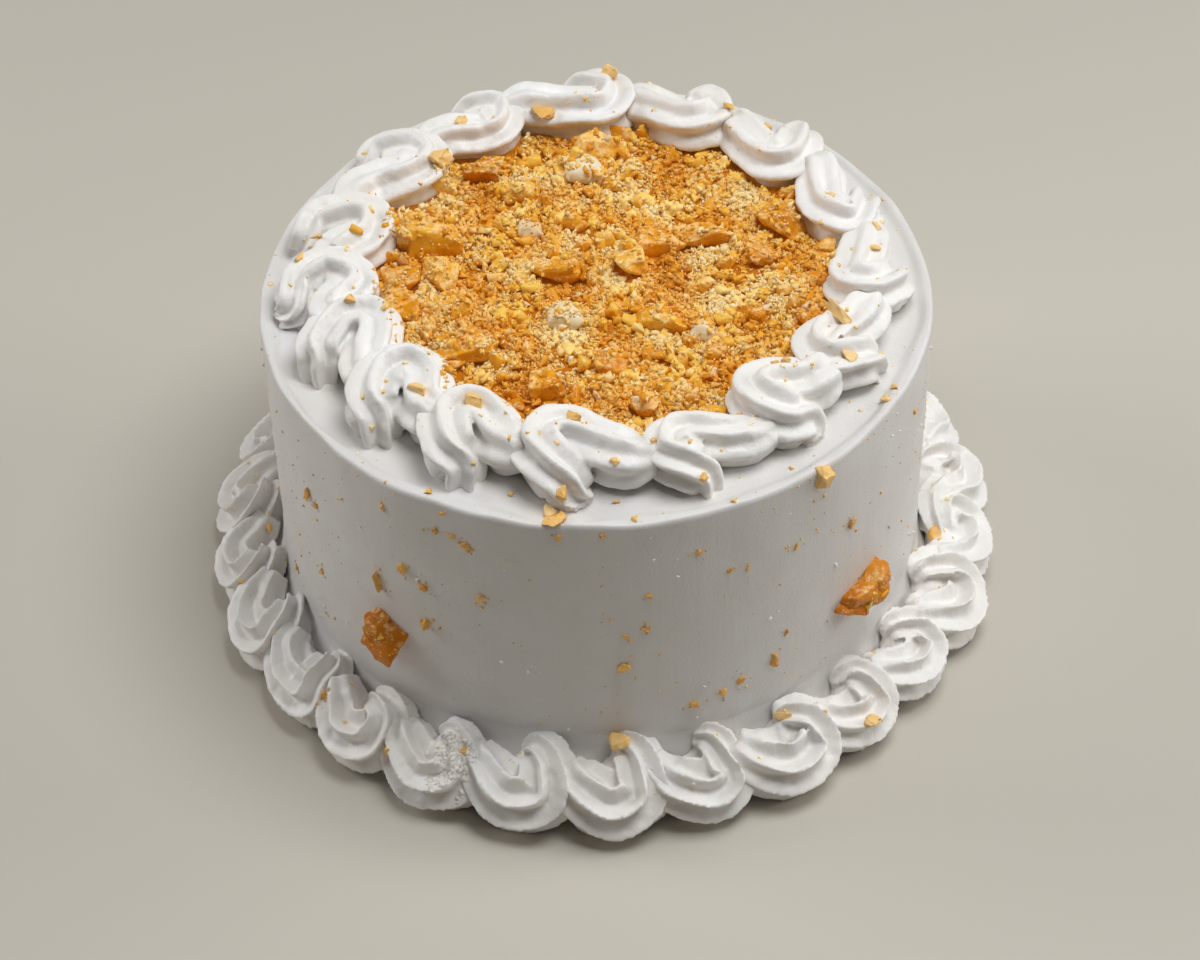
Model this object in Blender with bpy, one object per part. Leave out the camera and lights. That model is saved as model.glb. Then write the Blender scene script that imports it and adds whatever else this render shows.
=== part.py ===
"""Butterscotch cake: a round cake coated in whipped cream, with a border of piped shells
along its top edge and another round its foot, a bed of butterscotch crunch inside the
top border, and praline stuck to the cream.

Metres, +Z up. The origin is the centre of the flat underside. Azimuths run anticlockwise
from +X, seen from above.
"""
import random
from math import cos, pi, radians, sin, tau

import bmesh
import bpy
from mathutils import Euler, Matrix, Vector, noise
from mathutils.bvhtree import BVHTree

MM = 0.001

# The coated cake
CAKE_RADIUS = 0.0915
CAKE_HEIGHT = 0.100
TOP_DIP = 0.0012
LIP_WIDTH = 0.0046
EDGE_ROUND = 0.0016
EDGE_WAVE = 0.0007
BODY_SEGMENTS = 56
TOP_LEVEL = CAKE_HEIGHT - TOP_DIP

# What lies between two neighbouring pieces, and how much wider a cutter is made for it
GAP = 0.0003
CUTTER_SWELL = 0.00042

# Edges steeper than this stay sharp to the eye
SHARP_ANGLE = radians(50.0)

# The star nozzle
NOZZLE_RIDGES = 6
GROOVE_DEPTH = 0.30

# One piped shell, in millimetres: along the piping, across it, up, and radius.
# It starts under the head, swings back and round, and trails off in a tail that the
# next shell covers.
SHELL_HEAD = (
    (3.0, -4.2, -4.6, 6.6),
    (2.6, -5.4, 2.0, 7.1),
    (-2.2, -4.6, 6.0, 7.2),
    (-4.8, 0.4, 7.6, 7.4),
    (-2.6, 4.6, 7.8, 7.4),
    (3.0, 5.2, 7.0, 7.0),
)
# The tail: share of its length, across, up, and radius
SHELL_TAIL = (
    (0.50, 3.0, 5.6, 7.0),
    (0.90, 1.6, 4.6, 6.2),
    (1.00, 1.2, 4.2, 3.0),
)
TAIL_SHORT_OF_NEXT = 7.0
SHELL_TWIST = radians(55.0)
SHELL_STATIONS = 14
REMESH_VOXEL = 0.0005

# The border along the top edge: azimuth in degrees, distance from the axis in
# millimetres, and size
TOP_SHELLS = (
    (261.5, 73.0, 1.04),
    (287.0, 75.0, 0.90),
    (310.5, 72.8, 1.04),
    (331.5, 73.8, 1.00),
    (355.0, 75.5, 0.96),
    (18.5, 74.5, 0.96),
    (43.0, 74.5, 1.00),
    (65.5, 75.5, 1.00),
    (89.5, 76.0, 1.06),
    (115.0, 75.5, 0.94),
    (137.5, 74.5, 1.02),
    (163.5, 73.5, 1.00),
    (182.5, 75.0, 0.90),
    (200.0, 72.5, 0.92),
    (221.0, 72.0, 1.03),
    (241.0, 73.0, 1.03),
)
TOP_SHELL_FACES = 178

# The border round the foot
FOOT_SHELLS = 26
FOOT_FIRST_AZIMUTH = 258.0
FOOT_SIZE = 1.13
FOOT_SLOPE = radians(54.0)
FOOT_CENTRE_OUT = 0.0047
FOOT_CENTRE_UP = 0.0096
FOOT_SHELL_FACES = 132

# The crunch inside the top border
CRUNCH_DEPTH = 0.0040
CRUNCH_BUMP = 0.0009
CRUNCH_SEGMENTS = 36
CRUNCH_RINGS = (0.0, 0.35, 0.68, 1.0)
CRUNCH_REACH = 0.0680
GRAIN_SPREAD = 1.15
GRAIN_SIZES = (6.4,) * 10 + (5.2,) * 14 + (4.3,) * 20

# The largest pieces in it, in millimetres: x, y, length, width, height
LARGE_PIECES = (
    (-3.0, 47.0, 10.5, 9.0, 7.0),
    (-9.0, -16.0, 9.5, 7.0, 6.0),
    (-18.0, 22.0, 6.5, 5.5, 5.0),
    (3.0, 58.0, 13.0, 7.5, 6.5),
    (28.0, -22.0, 6.5, 6.0, 4.5),
    (-44.0, 18.0, 14.0, 11.0, 9.0),
    (-51.5, 19.0, 5.0, 12.0, 8.0),
    (-53.0, 3.0, 9.5, 9.0, 8.0),
    (-53.0, -9.0, 9.5, 9.5, 8.0),
    (-42.0, 2.0, 9.0, 8.0, 6.5),
    (-35.0, -27.0, 14.0, 10.0, 7.0),
    (-11.0, 4.0, 13.0, 7.0, 6.0),
    (18.0, 15.0, 13.0, 8.0, 7.0),
    (31.0, 15.0, 12.0, 7.5, 6.5),
    (10.0, 6.0, 7.0, 12.0, 7.0),
    (17.0, -18.0, 13.0, 6.0, 6.0),
    (4.0, -34.0, 9.0, 7.5, 5.5),
    (52.0, 21.0, 11.0, 10.5, 7.5),
    (46.0, 9.0, 7.5, 6.5, 5.5),
    (-13.0, -42.0, 8.0, 10.0, 6.0),
    (-20.0, 38.0, 9.0, 9.5, 7.0),
    (-31.0, 47.0, 10.0, 7.0, 6.0),
    (12.0, -51.0, 6.5, 6.0, 5.0),
    (-42.0, 43.0, 9.0, 7.0, 7.0),
)

# Praline stuck to the side: azimuth in degrees, height, length along the side, height of
# the piece and how far it stands out, in millimetres
SIDE_CHUNKS = {
    "praline_chunk_left": (230.8, 43.0, 12.5, 13.5, 8.5),
    "praline_chunk_right": (319.4, 42.0, 16.5, 9.5, 8.0),
}
# Smaller bits fused to the coating, by the same measures
SIDE_BITS = (
    (308.0, 97.0, 5.5, 7.5, 4.0),
    (229.8, 61.0, 4.0, 7.0, 2.6),
    (235.1, 70.4, 3.2, 4.2, 2.0),
    (239.0, 53.0, 3.6, 4.4, 2.4),
    (211.3, 71.1, 2.8, 5.0, 2.0),
    (273.1, 47.7, 3.4, 3.8, 2.2),
    (299.6, 36.2, 3.2, 4.8, 2.2),
    (316.4, 71.1, 3.0, 3.4, 1.8),
)

# Bits that lie on the shells of the top border: distance from the axis, azimuth in
# degrees, length, width and height, in millimetres
SHELL_BITS = (
    (69.0, 336.4, 8.0, 6.5, 4.0),
    (77.3, 328.0, 5.0, 4.0, 3.0),
    (66.4, 317.5, 4.5, 4.0, 3.0),
    (65.9, 264.5, 4.5, 4.0, 3.0),
    (65.9, 241.6, 6.0, 4.5, 3.5),
    (70.2, 228.0, 5.0, 4.5, 3.0),
    (68.7, 101.5, 7.5, 6.0, 4.5),
    (78.0, 86.3, 5.5, 5.0, 5.0),
)

CREAM = (0.83, 0.815, 0.79, 1.0)
CRUNCH = (0.76, 0.36, 0.07, 1.0)
PRALINE = (0.60, 0.20, 0.02, 1.0)


def clear_scene():
    for existing in list(bpy.data.objects):
        bpy.data.objects.remove(existing, do_unlink=True)


def make_material(name, colour, roughness):
    material = bpy.data.materials.new(name)
    material.use_nodes = True
    shader = material.node_tree.nodes["Principled BSDF"]
    shader.inputs["Base Color"].default_value = colour
    shader.inputs["Roughness"].default_value = roughness
    shader.inputs["Metallic"].default_value = 0.0
    return material


def add_object(name, bm, material):
    """Turns the faces outwards and puts the mesh in the scene as triangles."""
    bmesh.ops.triangulate(bm, faces=bm.faces[:])
    bmesh.ops.recalc_face_normals(bm, faces=bm.faces[:])
    mesh = bpy.data.meshes.new(name)
    bm.to_mesh(mesh)
    bm.free()
    mesh.materials.append(material)
    piece = bpy.data.objects.new(name, mesh)
    bpy.context.scene.collection.objects.link(piece)
    return piece


def apply_modifiers(piece):
    material = piece.data.materials[0]
    depsgraph = bpy.context.evaluated_depsgraph_get()
    mesh = bpy.data.meshes.new_from_object(piece.evaluated_get(depsgraph))
    piece.modifiers.clear()
    piece.data = mesh
    mesh.name = piece.name
    mesh.materials.clear()
    mesh.materials.append(material)


def combine(target, others, operation):
    """Applies one Boolean of an object with a collection of others, which are then removed."""
    group = bpy.data.collections.new("operands")
    bpy.context.scene.collection.children.link(group)
    for other in others:
        bpy.context.scene.collection.objects.unlink(other)
        group.objects.link(other)
    modifier = target.modifiers.new("combine", "BOOLEAN")
    modifier.operation = operation
    modifier.operand_type = "COLLECTION"
    modifier.collection = group
    modifier.solver = "MANIFOLD"
    apply_modifiers(target)
    for other in others:
        bpy.data.objects.remove(other, do_unlink=True)
    bpy.data.collections.remove(group)
    clean(target)


def clean(piece):
    """Closes the hair-thin slivers that a cut leaves and keeps the largest body."""
    bm = bmesh.new()
    bm.from_mesh(piece.data)
    bmesh.ops.triangulate(bm, faces=bm.faces[:])
    bmesh.ops.remove_doubles(bm, verts=bm.verts[:], dist=0.00001)
    bmesh.ops.dissolve_degenerate(bm, edges=bm.edges[:], dist=0.00004)
    bmesh.ops.triangulate(bm, faces=bm.faces[:])
    bodies = loose_bodies(bm)
    for scrap in bodies[1:]:
        bmesh.ops.delete(bm, geom=scrap, context="FACES")
    bmesh.ops.recalc_face_normals(bm, faces=bm.faces[:])
    bm.to_mesh(piece.data)
    bm.free()


def loose_bodies(bm):
    """The faces of each separate body, the one with the most faces first."""
    unseen = set(bm.faces)
    bodies = []
    while unseen:
        start = unseen.pop()
        body = [start]
        for face in body:
            for edge in face.edges:
                for other in edge.link_faces:
                    if other in unseen:
                        unseen.remove(other)
                        body.append(other)
        bodies.append(body)
    return sorted(bodies, key=len, reverse=True)


def slice_off(piece, point, outward):
    """Cuts an object flat, drops what lies on the outward side and closes the cut."""
    bm = bmesh.new()
    bm.from_mesh(piece.data)
    geometry = bm.verts[:] + bm.edges[:] + bm.faces[:]
    bmesh.ops.bisect_plane(bm, geom=geometry, dist=1e-5, plane_co=point, plane_no=outward,
                           clear_outer=True)
    rim = [edge for edge in bm.edges if edge.is_boundary]
    bmesh.ops.holes_fill(bm, edges=rim, sides=0)
    bmesh.ops.triangulate(bm, faces=bm.faces[:])
    bmesh.ops.recalc_face_normals(bm, faces=bm.faces[:])
    bm.to_mesh(piece.data)
    bm.free()


def swollen_copy(piece):
    """A cutter that stands a little proud of the piece all over."""
    mesh = piece.data.copy()
    cutter = bpy.data.objects.new("cutter", mesh)
    bpy.context.scene.collection.objects.link(cutter)
    for vertex, normal in zip(mesh.vertices, [vertex.normal.copy() for vertex in mesh.vertices]):
        vertex.co += normal * CUTTER_SWELL
    return cutter


def smooth_point(points, position):
    """A point on the Catmull-Rom curve through the points; position runs from 0 to 1."""
    spans = len(points) - 1
    span = min(int(position * spans), spans - 1)
    t = position * spans - span
    before = points[max(span - 1, 0)]
    after = points[min(span + 2, spans)]
    return [
        0.5 * (2.0 * b + (c - a) * t + (2.0 * a - 5.0 * b + 4.0 * c - d) * t ** 2
               + (3.0 * b - a - 3.0 * c + d) * t ** 3)
        for a, b, c, d in zip(before, points[span], points[span + 1], after)
    ]


def shell_path(size, spacing):
    """Places and radii along one shell, in millimetres; spacing is the way to the next."""
    points = [[value * size for value in point] for point in SHELL_HEAD]
    tail_start = points[-1][0]
    tail_length = spacing - TAIL_SHORT_OF_NEXT * size - tail_start
    for share, across, up, radius in SHELL_TAIL:
        points.append([tail_start + share * tail_length, across * size, up * size, radius * size])
    return points


def shell_ring(points, position, phase):
    """The star-shaped section of a shell at one place along its path."""
    along, across, up, radius = smooth_point(points, position)
    middle = min(max(position, 0.02), 0.98)
    ahead = Vector(smooth_point(points, middle + 0.02)[:3])
    behind = Vector(smooth_point(points, middle - 0.02)[:3])
    forward = (ahead - behind).normalized()
    inward = Vector((forward.y, -forward.x, 0.0)).normalized()
    upward = inward.cross(forward).normalized()
    ring = []
    for step in range(2 * NOZZLE_RIDGES):
        angle = phase + SHELL_TWIST * position + step * pi / NOZZLE_RIDGES
        reach = radius * (1.0 - GROOVE_DEPTH * (step % 2))
        offset = inward * (reach * cos(angle)) + upward * (reach * sin(angle))
        ring.append((Vector((along, across, up)) + offset) * MM)
    return ring


def extrude_through(bm, rings):
    """Extrudes a closed ring through all the rings, and closes both ends."""
    current = bmesh.ops.create_circle(bm, segments=len(rings[0]), radius=1.0)["verts"]
    for vertex, place in zip(current, rings[0]):
        vertex.co = place
    bmesh.ops.contextual_create(bm, geom=bm.edges[:])
    ring_edges = bm.edges[:]
    for ring in rings[1:]:
        extruded = bmesh.ops.extrude_edge_only(bm, edges=ring_edges)["geom"]
        fresh = {item for item in extruded if isinstance(item, bmesh.types.BMVert)}
        ring_edges = [item for item in extruded
                      if isinstance(item, bmesh.types.BMEdge) and fresh.issuperset(item.verts)]
        followers = []
        for vertex in current:
            followers += [edge.other_vert(vertex) for edge in vertex.link_edges
                          if edge.other_vert(vertex) in fresh]
        for vertex, place in zip(followers, ring):
            vertex.co = place
        current = followers
    bmesh.ops.contextual_create(bm, geom=ring_edges)


def piped_shell(name, size, spacing, seed, frame, faces, material):
    """One shell as a closed solid of about the given number of triangles."""
    phase = random.Random(seed).uniform(0.0, tau)
    points = shell_path(size, spacing)
    bm = bmesh.new()
    extrude_through(bm, [shell_ring(points, station / (SHELL_STATIONS - 1), phase)
                         for station in range(SHELL_STATIONS)])
    bm.transform(frame)
    shell = add_object(name, bm, material)
    remesh = shell.modifiers.new("remesh", "REMESH")
    remesh.mode = "VOXEL"
    remesh.voxel_size = REMESH_VOXEL
    apply_modifiers(shell)
    triangles = 2 * len(shell.data.polygons)
    decimate = shell.modifiers.new("decimate", "DECIMATE")
    decimate.ratio = faces / triangles
    apply_modifiers(shell)
    return shell


def upright_frame(azimuth, distance, height):
    """Top border: x runs anticlockwise along it, y inwards, z up."""
    outward = Vector((cos(azimuth), sin(azimuth), 0.0))
    along = Vector((-sin(azimuth), cos(azimuth), 0.0))
    up = Vector((0.0, 0.0, 1.0))
    return frame_of(along, -outward, up, outward * distance + up * height)


def leaning_frame(azimuth):
    """Foot border: x runs clockwise along it, y down the slope, z out of the slope."""
    outward = Vector((cos(azimuth), sin(azimuth), 0.0))
    along = Vector((sin(azimuth), -cos(azimuth), 0.0))
    up = Vector((0.0, 0.0, 1.0))
    down_slope = outward * cos(FOOT_SLOPE) - up * sin(FOOT_SLOPE)
    off_slope = outward * sin(FOOT_SLOPE) + up * cos(FOOT_SLOPE)
    place = outward * (CAKE_RADIUS + FOOT_CENTRE_OUT) + up * FOOT_CENTRE_UP
    return frame_of(along, down_slope, off_slope, place)


def frame_of(x_axis, y_axis, z_axis, place):
    frame = Matrix.Identity(4)
    for column, vector in enumerate((x_axis, y_axis, z_axis, place)):
        for row in range(3):
            frame[row][column] = vector[row]
    return frame


def cut_round(shells):
    """Takes out of each shell's tail the room that the next shell's head fills."""
    cutters = [swollen_copy(shell) for shell in shells]
    for index, shell in enumerate(shells):
        follower = cutters[(index + 1) % len(shells)]
        cutter = bpy.data.objects.new("cutter", follower.data.copy())
        bpy.context.scene.collection.objects.link(cutter)
        combine(shell, [cutter], "DIFFERENCE")
    for cutter in cutters:
        bpy.data.objects.remove(cutter, do_unlink=True)


def build_top_border(cream):
    shells = []
    for index, (azimuth, distance, size) in enumerate(TOP_SHELLS):
        next_azimuth = TOP_SHELLS[(index + 1) % len(TOP_SHELLS)][0]
        spacing = radians((next_azimuth - azimuth) % 360.0) * distance
        frame = upright_frame(radians(azimuth), distance * MM, TOP_LEVEL + GAP)
        shells.append(piped_shell(f"top_shell_{index + 1:02d}", size, spacing, 300 + index,
                                  frame, TOP_SHELL_FACES, cream))
    cut_round(shells)
    for shell in shells:
        slice_off(shell, (0.0, 0.0, TOP_LEVEL + GAP), (0.0, 0.0, -1.0))
        clean(shell)
    return shells


def build_foot_border(cream):
    step = tau / FOOT_SHELLS
    spacing = step * (CAKE_RADIUS + FOOT_CENTRE_OUT) / MM
    shells = []
    for index in range(FOOT_SHELLS):
        azimuth = radians(FOOT_FIRST_AZIMUTH) - index * step
        size = FOOT_SIZE * random.Random(500 + index).uniform(0.95, 1.05)
        shells.append(piped_shell(f"foot_shell_{index + 1:02d}", size, spacing, 400 + index,
                                  leaning_frame(azimuth), FOOT_SHELL_FACES, cream))
    cut_round(shells)
    for index, shell in enumerate(shells):
        azimuth = radians(FOOT_FIRST_AZIMUTH) - index * step
        outward = Vector((cos(azimuth), sin(azimuth), 0.0))
        slice_off(shell, outward * (CAKE_RADIUS + GAP), -outward)
        slice_off(shell, (0.0, 0.0, 0.0), (0.0, 0.0, -1.0))
        clean(shell)
    return shells


def lumpy_block(name, size, centre, turn, seed, material):
    """A broken piece of praline or nut: a block with knocked corners."""
    draw = random.Random(seed)
    bm = bmesh.new()
    bmesh.ops.create_icosphere(bm, subdivisions=1, radius=0.5)
    for vertex in bm.verts:
        squared = Vector([max(-0.42, min(0.42, value)) for value in vertex.co])
        jitter = Vector([draw.uniform(-0.09, 0.09) for _ in range(3)])
        vertex.co = squared * 1.12 + jitter
    return placed_block(name, bm, size, centre, turn, material)


def small_block(name, size, centre, turn, seed, material):
    """A small grain: a cube knocked askew and narrower at the top."""
    draw = random.Random(seed)
    bm = bmesh.new()
    bmesh.ops.create_cube(bm, size=1.0)
    for vertex in bm.verts:
        narrowed = 1.0 - 0.22 * (vertex.co.z > 0.0)
        jitter = Vector([draw.uniform(-0.13, 0.13) for _ in range(3)])
        vertex.co = Vector((vertex.co.x * narrowed, vertex.co.y * narrowed, vertex.co.z)) + jitter
    return placed_block(name, bm, size, centre, turn, material)


def placed_block(name, bm, size, centre, turn, material):
    bmesh.ops.scale(bm, verts=bm.verts[:], vec=Vector(size))
    bm.transform(Matrix.Translation(centre) @ turn.to_matrix().to_4x4())
    return add_object(name, bm, material)


def build_body(cream, praline):
    """The coated cake, turned from its profile, with the small bits stuck to its side."""
    bm = bmesh.new()
    profile = (
        (0.0, 0.0),
        (CAKE_RADIUS, 0.0),
        (CAKE_RADIUS, 0.34 * CAKE_HEIGHT),
        (CAKE_RADIUS, 0.68 * CAKE_HEIGHT),
        (CAKE_RADIUS, CAKE_HEIGHT - 1.6 * EDGE_ROUND),
        (CAKE_RADIUS - 0.3 * EDGE_ROUND, CAKE_HEIGHT - 0.35 * EDGE_ROUND),
        (CAKE_RADIUS - EDGE_ROUND, CAKE_HEIGHT),
        (CAKE_RADIUS - LIP_WIDTH, TOP_LEVEL),
        (0.0, TOP_LEVEL),
    )
    corners = [bm.verts.new((radius, 0.0, height)) for radius, height in profile]
    for start, end in zip(corners, corners[1:]):
        bm.edges.new((start, end))
    bmesh.ops.spin(bm, geom=bm.verts[:] + bm.edges[:], cent=(0.0, 0.0, 0.0),
                   axis=(0.0, 0.0, 1.0), angle=tau, steps=BODY_SEGMENTS, use_merge=True)
    bmesh.ops.remove_doubles(bm, verts=bm.verts[:], dist=0.00001)
    for vertex in bm.verts:
        ripple(vertex)
    body = add_object("cake_body", bm, cream)
    bits = []
    for index, (azimuth, height, length, rise, proud) in enumerate(SIDE_BITS):
        turn = Euler((0.0, 0.0, radians(azimuth) + 0.5 * pi))
        outward = Vector((cos(radians(azimuth)), sin(radians(azimuth)), 0.0))
        centre = outward * (CAKE_RADIUS + 0.1 * proud * MM) + Vector((0.0, 0.0, height * MM))
        size = (length * MM, proud * MM * 1.9, rise * MM)
        bits.append(small_block("bit", size, centre, turn, 700 + index, praline))
    combine(body, bits, "UNION")


def ripple(vertex):
    """Hand-smoothed cream: the edge of the top wanders a little in and out, up and down."""
    edge_share = (vertex.co.z / CAKE_HEIGHT - 0.4) / 0.6
    outer_share = (Vector((vertex.co.x, vertex.co.y)).length - 0.9 * CAKE_RADIUS) / (0.1 * CAKE_RADIUS)
    if edge_share <= 0.0 or outer_share <= 0.5:
        return
    outward = Vector((vertex.co.x, vertex.co.y, 0.0)).normalized()
    along = outward * 3.2
    vertex.co += outward * (EDGE_WAVE * edge_share * noise.noise(along))
    if vertex.co.z > 0.9 * CAKE_HEIGHT:
        vertex.co.z += EDGE_WAVE * 0.7 * noise.noise(along + Vector((7.0, 0.0, 0.0)))


def border_reach(shells):
    """How far out the crunch can run at each azimuth before it meets a shell."""
    bm = bmesh.new()
    for shell in shells:
        bm.from_mesh(shell.data)
    tree = BVHTree.FromBMesh(bm)
    bm.free()
    fine = 8 * CRUNCH_SEGMENTS
    rays = []
    for index in range(fine):
        azimuth = index * tau / fine
        outward = Vector((cos(azimuth), sin(azimuth), 0.0))
        nearest = CRUNCH_REACH
        for level in range(11):
            start = Vector((0.0, 0.0, TOP_LEVEL + GAP + 0.0001 + 0.1 * level * 1.3 * CRUNCH_DEPTH))
            hit = tree.ray_cast(start, outward)
            if hit[0] is not None:
                nearest = min(nearest, hit[3])
        rays.append(nearest)
    reach = []
    for index in range(CRUNCH_SEGMENTS):
        window = [rays[(8 * index + offset) % fine] for offset in range(-9, 10)]
        reach.append(min(window) - 1.5 * GAP)
    return reach


def crunch_top(place):
    """The height of the bed of crumbs under its larger pieces."""
    bump = noise.noise(Vector((place.x, place.y, 0.0)) * 180.0)
    return TOP_LEVEL + CRUNCH_DEPTH + CRUNCH_BUMP * bump


def build_crunch_bed(reach, material):
    bm = bmesh.new()
    base = TOP_LEVEL + GAP
    made = bmesh.ops.create_circle(bm, segments=CRUNCH_SEGMENTS, radius=1.0, cap_ends=True)
    rim = made["verts"]
    for index, vertex in enumerate(rim):
        azimuth = index * tau / CRUNCH_SEGMENTS
        vertex.co = Vector((cos(azimuth), sin(azimuth), 0.0)) * reach[index]
        vertex.co.z = base
    rings = [rim]
    for share in (1.0,) + CRUNCH_RINGS[-2:0:-1]:
        previous = rings[-1]
        loop = [edge for edge in bm.edges if edge.verts[0] in previous and edge.verts[1] in previous]
        extruded = bmesh.ops.extrude_edge_only(bm, edges=loop)["geom"]
        fresh = {item for item in extruded if isinstance(item, bmesh.types.BMVert)}
        followers = []
        for vertex in previous:
            followers += [edge.other_vert(vertex) for edge in vertex.link_edges
                          if edge.other_vert(vertex) in fresh]
        for index, vertex in enumerate(followers):
            azimuth = index * tau / CRUNCH_SEGMENTS
            vertex.co = Vector((cos(azimuth), sin(azimuth), 0.0)) * (reach[index] * share)
            vertex.co.z = crunch_top(vertex.co)
        rings.append(followers)
    inner = [edge for edge in bm.edges if edge.is_boundary]
    cap = bmesh.ops.contextual_create(bm, geom=inner)["faces"]
    bmesh.ops.poke(bm, faces=cap)
    return add_object("crunch_topping", bm, material)


def reach_at(reach, azimuth):
    index = int(azimuth / tau * len(reach))
    return min(reach[(index + offset) % len(reach)] for offset in (-1, 0, 1, 2))


def spread_grains(reach):
    """Named large pieces first, then smaller ones wherever there is room, evenly spread."""
    placed = [(Vector((x, y, 0.0)) * MM, (length, width, height))
              for x, y, length, width, height in LARGE_PIECES]
    draw = random.Random(11)
    for size in GRAIN_SIZES:
        for _ in range(60):
            azimuth = draw.uniform(0.0, tau)
            distance = CRUNCH_REACH * draw.random() ** 0.5
            place = Vector((cos(azimuth), sin(azimuth), 0.0)) * distance
            clear_of_border = distance + 0.62 * size * MM < reach_at(reach, azimuth)
            clear_of_rest = all(
                (place - other).length > GRAIN_SPREAD * 0.5 * (size + max(spans[:2])) * MM
                for other, spans in placed
            )
            if clear_of_border and clear_of_rest:
                width = size * draw.uniform(0.7, 1.0)
                placed.append((place, (size, width, size * draw.uniform(0.6, 0.85))))
                break
    return placed


def build_crunch(shells, material):
    reach = border_reach(shells)
    bed = build_crunch_bed(reach, material)
    grains = []
    for index, (place, spans) in enumerate(spread_grains(reach)):
        draw = random.Random(900 + index)
        turn = Euler((draw.uniform(-0.35, 0.35), draw.uniform(-0.35, 0.35), 0.0))
        if index >= len(LARGE_PIECES):
            turn.z = draw.uniform(0.0, tau)
        azimuth = Vector((1.0, 0.0)).angle_signed(place.xy, 0.0) if place.length else 0.0
        room = reach_at(reach, -azimuth % tau) - 0.56 * max(spans[:2]) * MM
        if place.length > room:
            place = place.normalized() * room
        centre = place.copy()
        centre.z = crunch_top(place) + 0.12 * spans[2] * MM
        make = lumpy_block if index < len(LARGE_PIECES) else small_block
        grains.append(make("grain", [span * MM for span in spans], centre, turn,
                           1200 + index, material))
    combine(bed, grains, "UNION")
    return bed


def scatter_on_shells(shells, material):
    """Fuses the larger bits to whichever shell they lie on."""
    bits = {shell: [] for shell in shells}
    for index, (distance, azimuth, length, width, height) in enumerate(SHELL_BITS):
        place = Vector((cos(radians(azimuth)), sin(radians(azimuth)), 0.0)) * (distance * MM)
        place.z = 2.0 * CAKE_HEIGHT
        hits = [(shell.ray_cast(place, (0.0, 0.0, -1.0)), shell) for shell in shells]
        found = [(result[1], result[2], shell) for result, shell in hits if result[0]]
        if not found:
            continue
        surface, normal, shell = max(found, key=lambda item: item[0].z)
        turn = normal.to_track_quat("Z", "Y").to_euler()
        centre = surface + normal * (0.15 * height * MM)
        size = (length * MM, width * MM, height * MM)
        bits[shell].append(small_block("bit", size, centre, turn, 800 + index, material))
    for shell, blocks in bits.items():
        if blocks:
            combine(shell, blocks, "UNION")


def build_side_chunks(praline):
    """The two large chunks of praline on the side, a hair clear of the coating."""
    for index, (name, values) in enumerate(SIDE_CHUNKS.items()):
        azimuth, height, length, rise, proud = values
        outward = Vector((cos(radians(azimuth)), sin(radians(azimuth)), 0.0))
        turn = Euler((0.0, 0.0, radians(azimuth) + 0.5 * pi))
        centre = outward * (CAKE_RADIUS + 0.35 * proud * MM) + Vector((0.0, 0.0, height * MM))
        chunk = lumpy_block(name, (length * MM, proud * MM * 1.3, rise * MM), centre, turn,
                            40 + index, praline)
        slice_off(chunk, outward * (CAKE_RADIUS + EDGE_WAVE + GAP), -outward)
        clean(chunk)


def build_cake():
    clear_scene()
    cream = make_material("whipped_cream", CREAM, 0.5)
    crunch = make_material("butterscotch_crunch", CRUNCH, 0.45)
    praline = make_material("praline", PRALINE, 0.3)
    build_body(cream, praline)
    top_border = build_top_border(cream)
    build_foot_border(cream)
    build_crunch(top_border, crunch)
    scatter_on_shells(top_border, praline)
    build_side_chunks(praline)
    for piece in bpy.data.objects:
        piece.data.shade_smooth()
        piece.data.set_sharp_from_angle(angle=SHARP_ANGLE)


build_cake()
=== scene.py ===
"""A butterscotch cake, dressed: the cream coat, the piped shells, the crunch and the praline.

Metres, +Z up, the same frame as the solids. Azimuths run anticlockwise from +X, seen from
above.
"""
import random
from functools import partialmethod
from math import atan2, cos, pi, radians, sin, tau

import bmesh
import bpy
import numpy as np
from mathutils import Euler, Matrix, Vector, noise
from mathutils.bvhtree import BVHTree


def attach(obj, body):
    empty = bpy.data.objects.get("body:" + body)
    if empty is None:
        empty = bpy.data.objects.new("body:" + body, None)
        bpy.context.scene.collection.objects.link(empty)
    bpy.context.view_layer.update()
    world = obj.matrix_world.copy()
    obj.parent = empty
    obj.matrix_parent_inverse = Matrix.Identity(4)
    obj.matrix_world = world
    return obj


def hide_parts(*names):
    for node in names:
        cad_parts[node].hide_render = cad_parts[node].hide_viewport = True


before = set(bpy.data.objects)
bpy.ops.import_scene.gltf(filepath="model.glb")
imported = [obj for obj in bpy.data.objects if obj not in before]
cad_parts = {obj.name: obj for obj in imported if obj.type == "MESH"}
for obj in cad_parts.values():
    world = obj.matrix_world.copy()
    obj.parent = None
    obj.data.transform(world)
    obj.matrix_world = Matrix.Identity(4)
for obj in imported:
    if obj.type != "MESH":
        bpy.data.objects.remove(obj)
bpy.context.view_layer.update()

MM = 0.001
UP = Vector((0.0, 0.0, 1.0))
STEPS_ROUND = 360
# Where a ray that feels for the cake starts, well clear of it
FAR_OUT = 0.3

# The coated cake, as in the solids
CAKE_RADIUS = 0.0915
CAKE_HEIGHT = 0.100
TOP_DIP = 0.0012
LIP_WIDTH = 0.0042
EDGE_ROUND = 0.0010
FOOT_ROUND = 0.0006
EDGE_WAVE = 0.0008
TOP_LEVEL = CAKE_HEIGHT - TOP_DIP
# Above this the side turns over into the lip
SHOULDER = 0.97 * CAKE_HEIGHT
# How far the piped cream sinks into what it is piped on
SINK = 0.0003

# The star nozzle: its ridges, how far the grooves go in as a share of the radius, and how
# narrow they are beside the ridges
TOP_STAR = (6, 0.42, 0.95)
FOOT_STAR = (8, 0.50, 0.60)
RING_POINTS = 96
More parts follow.
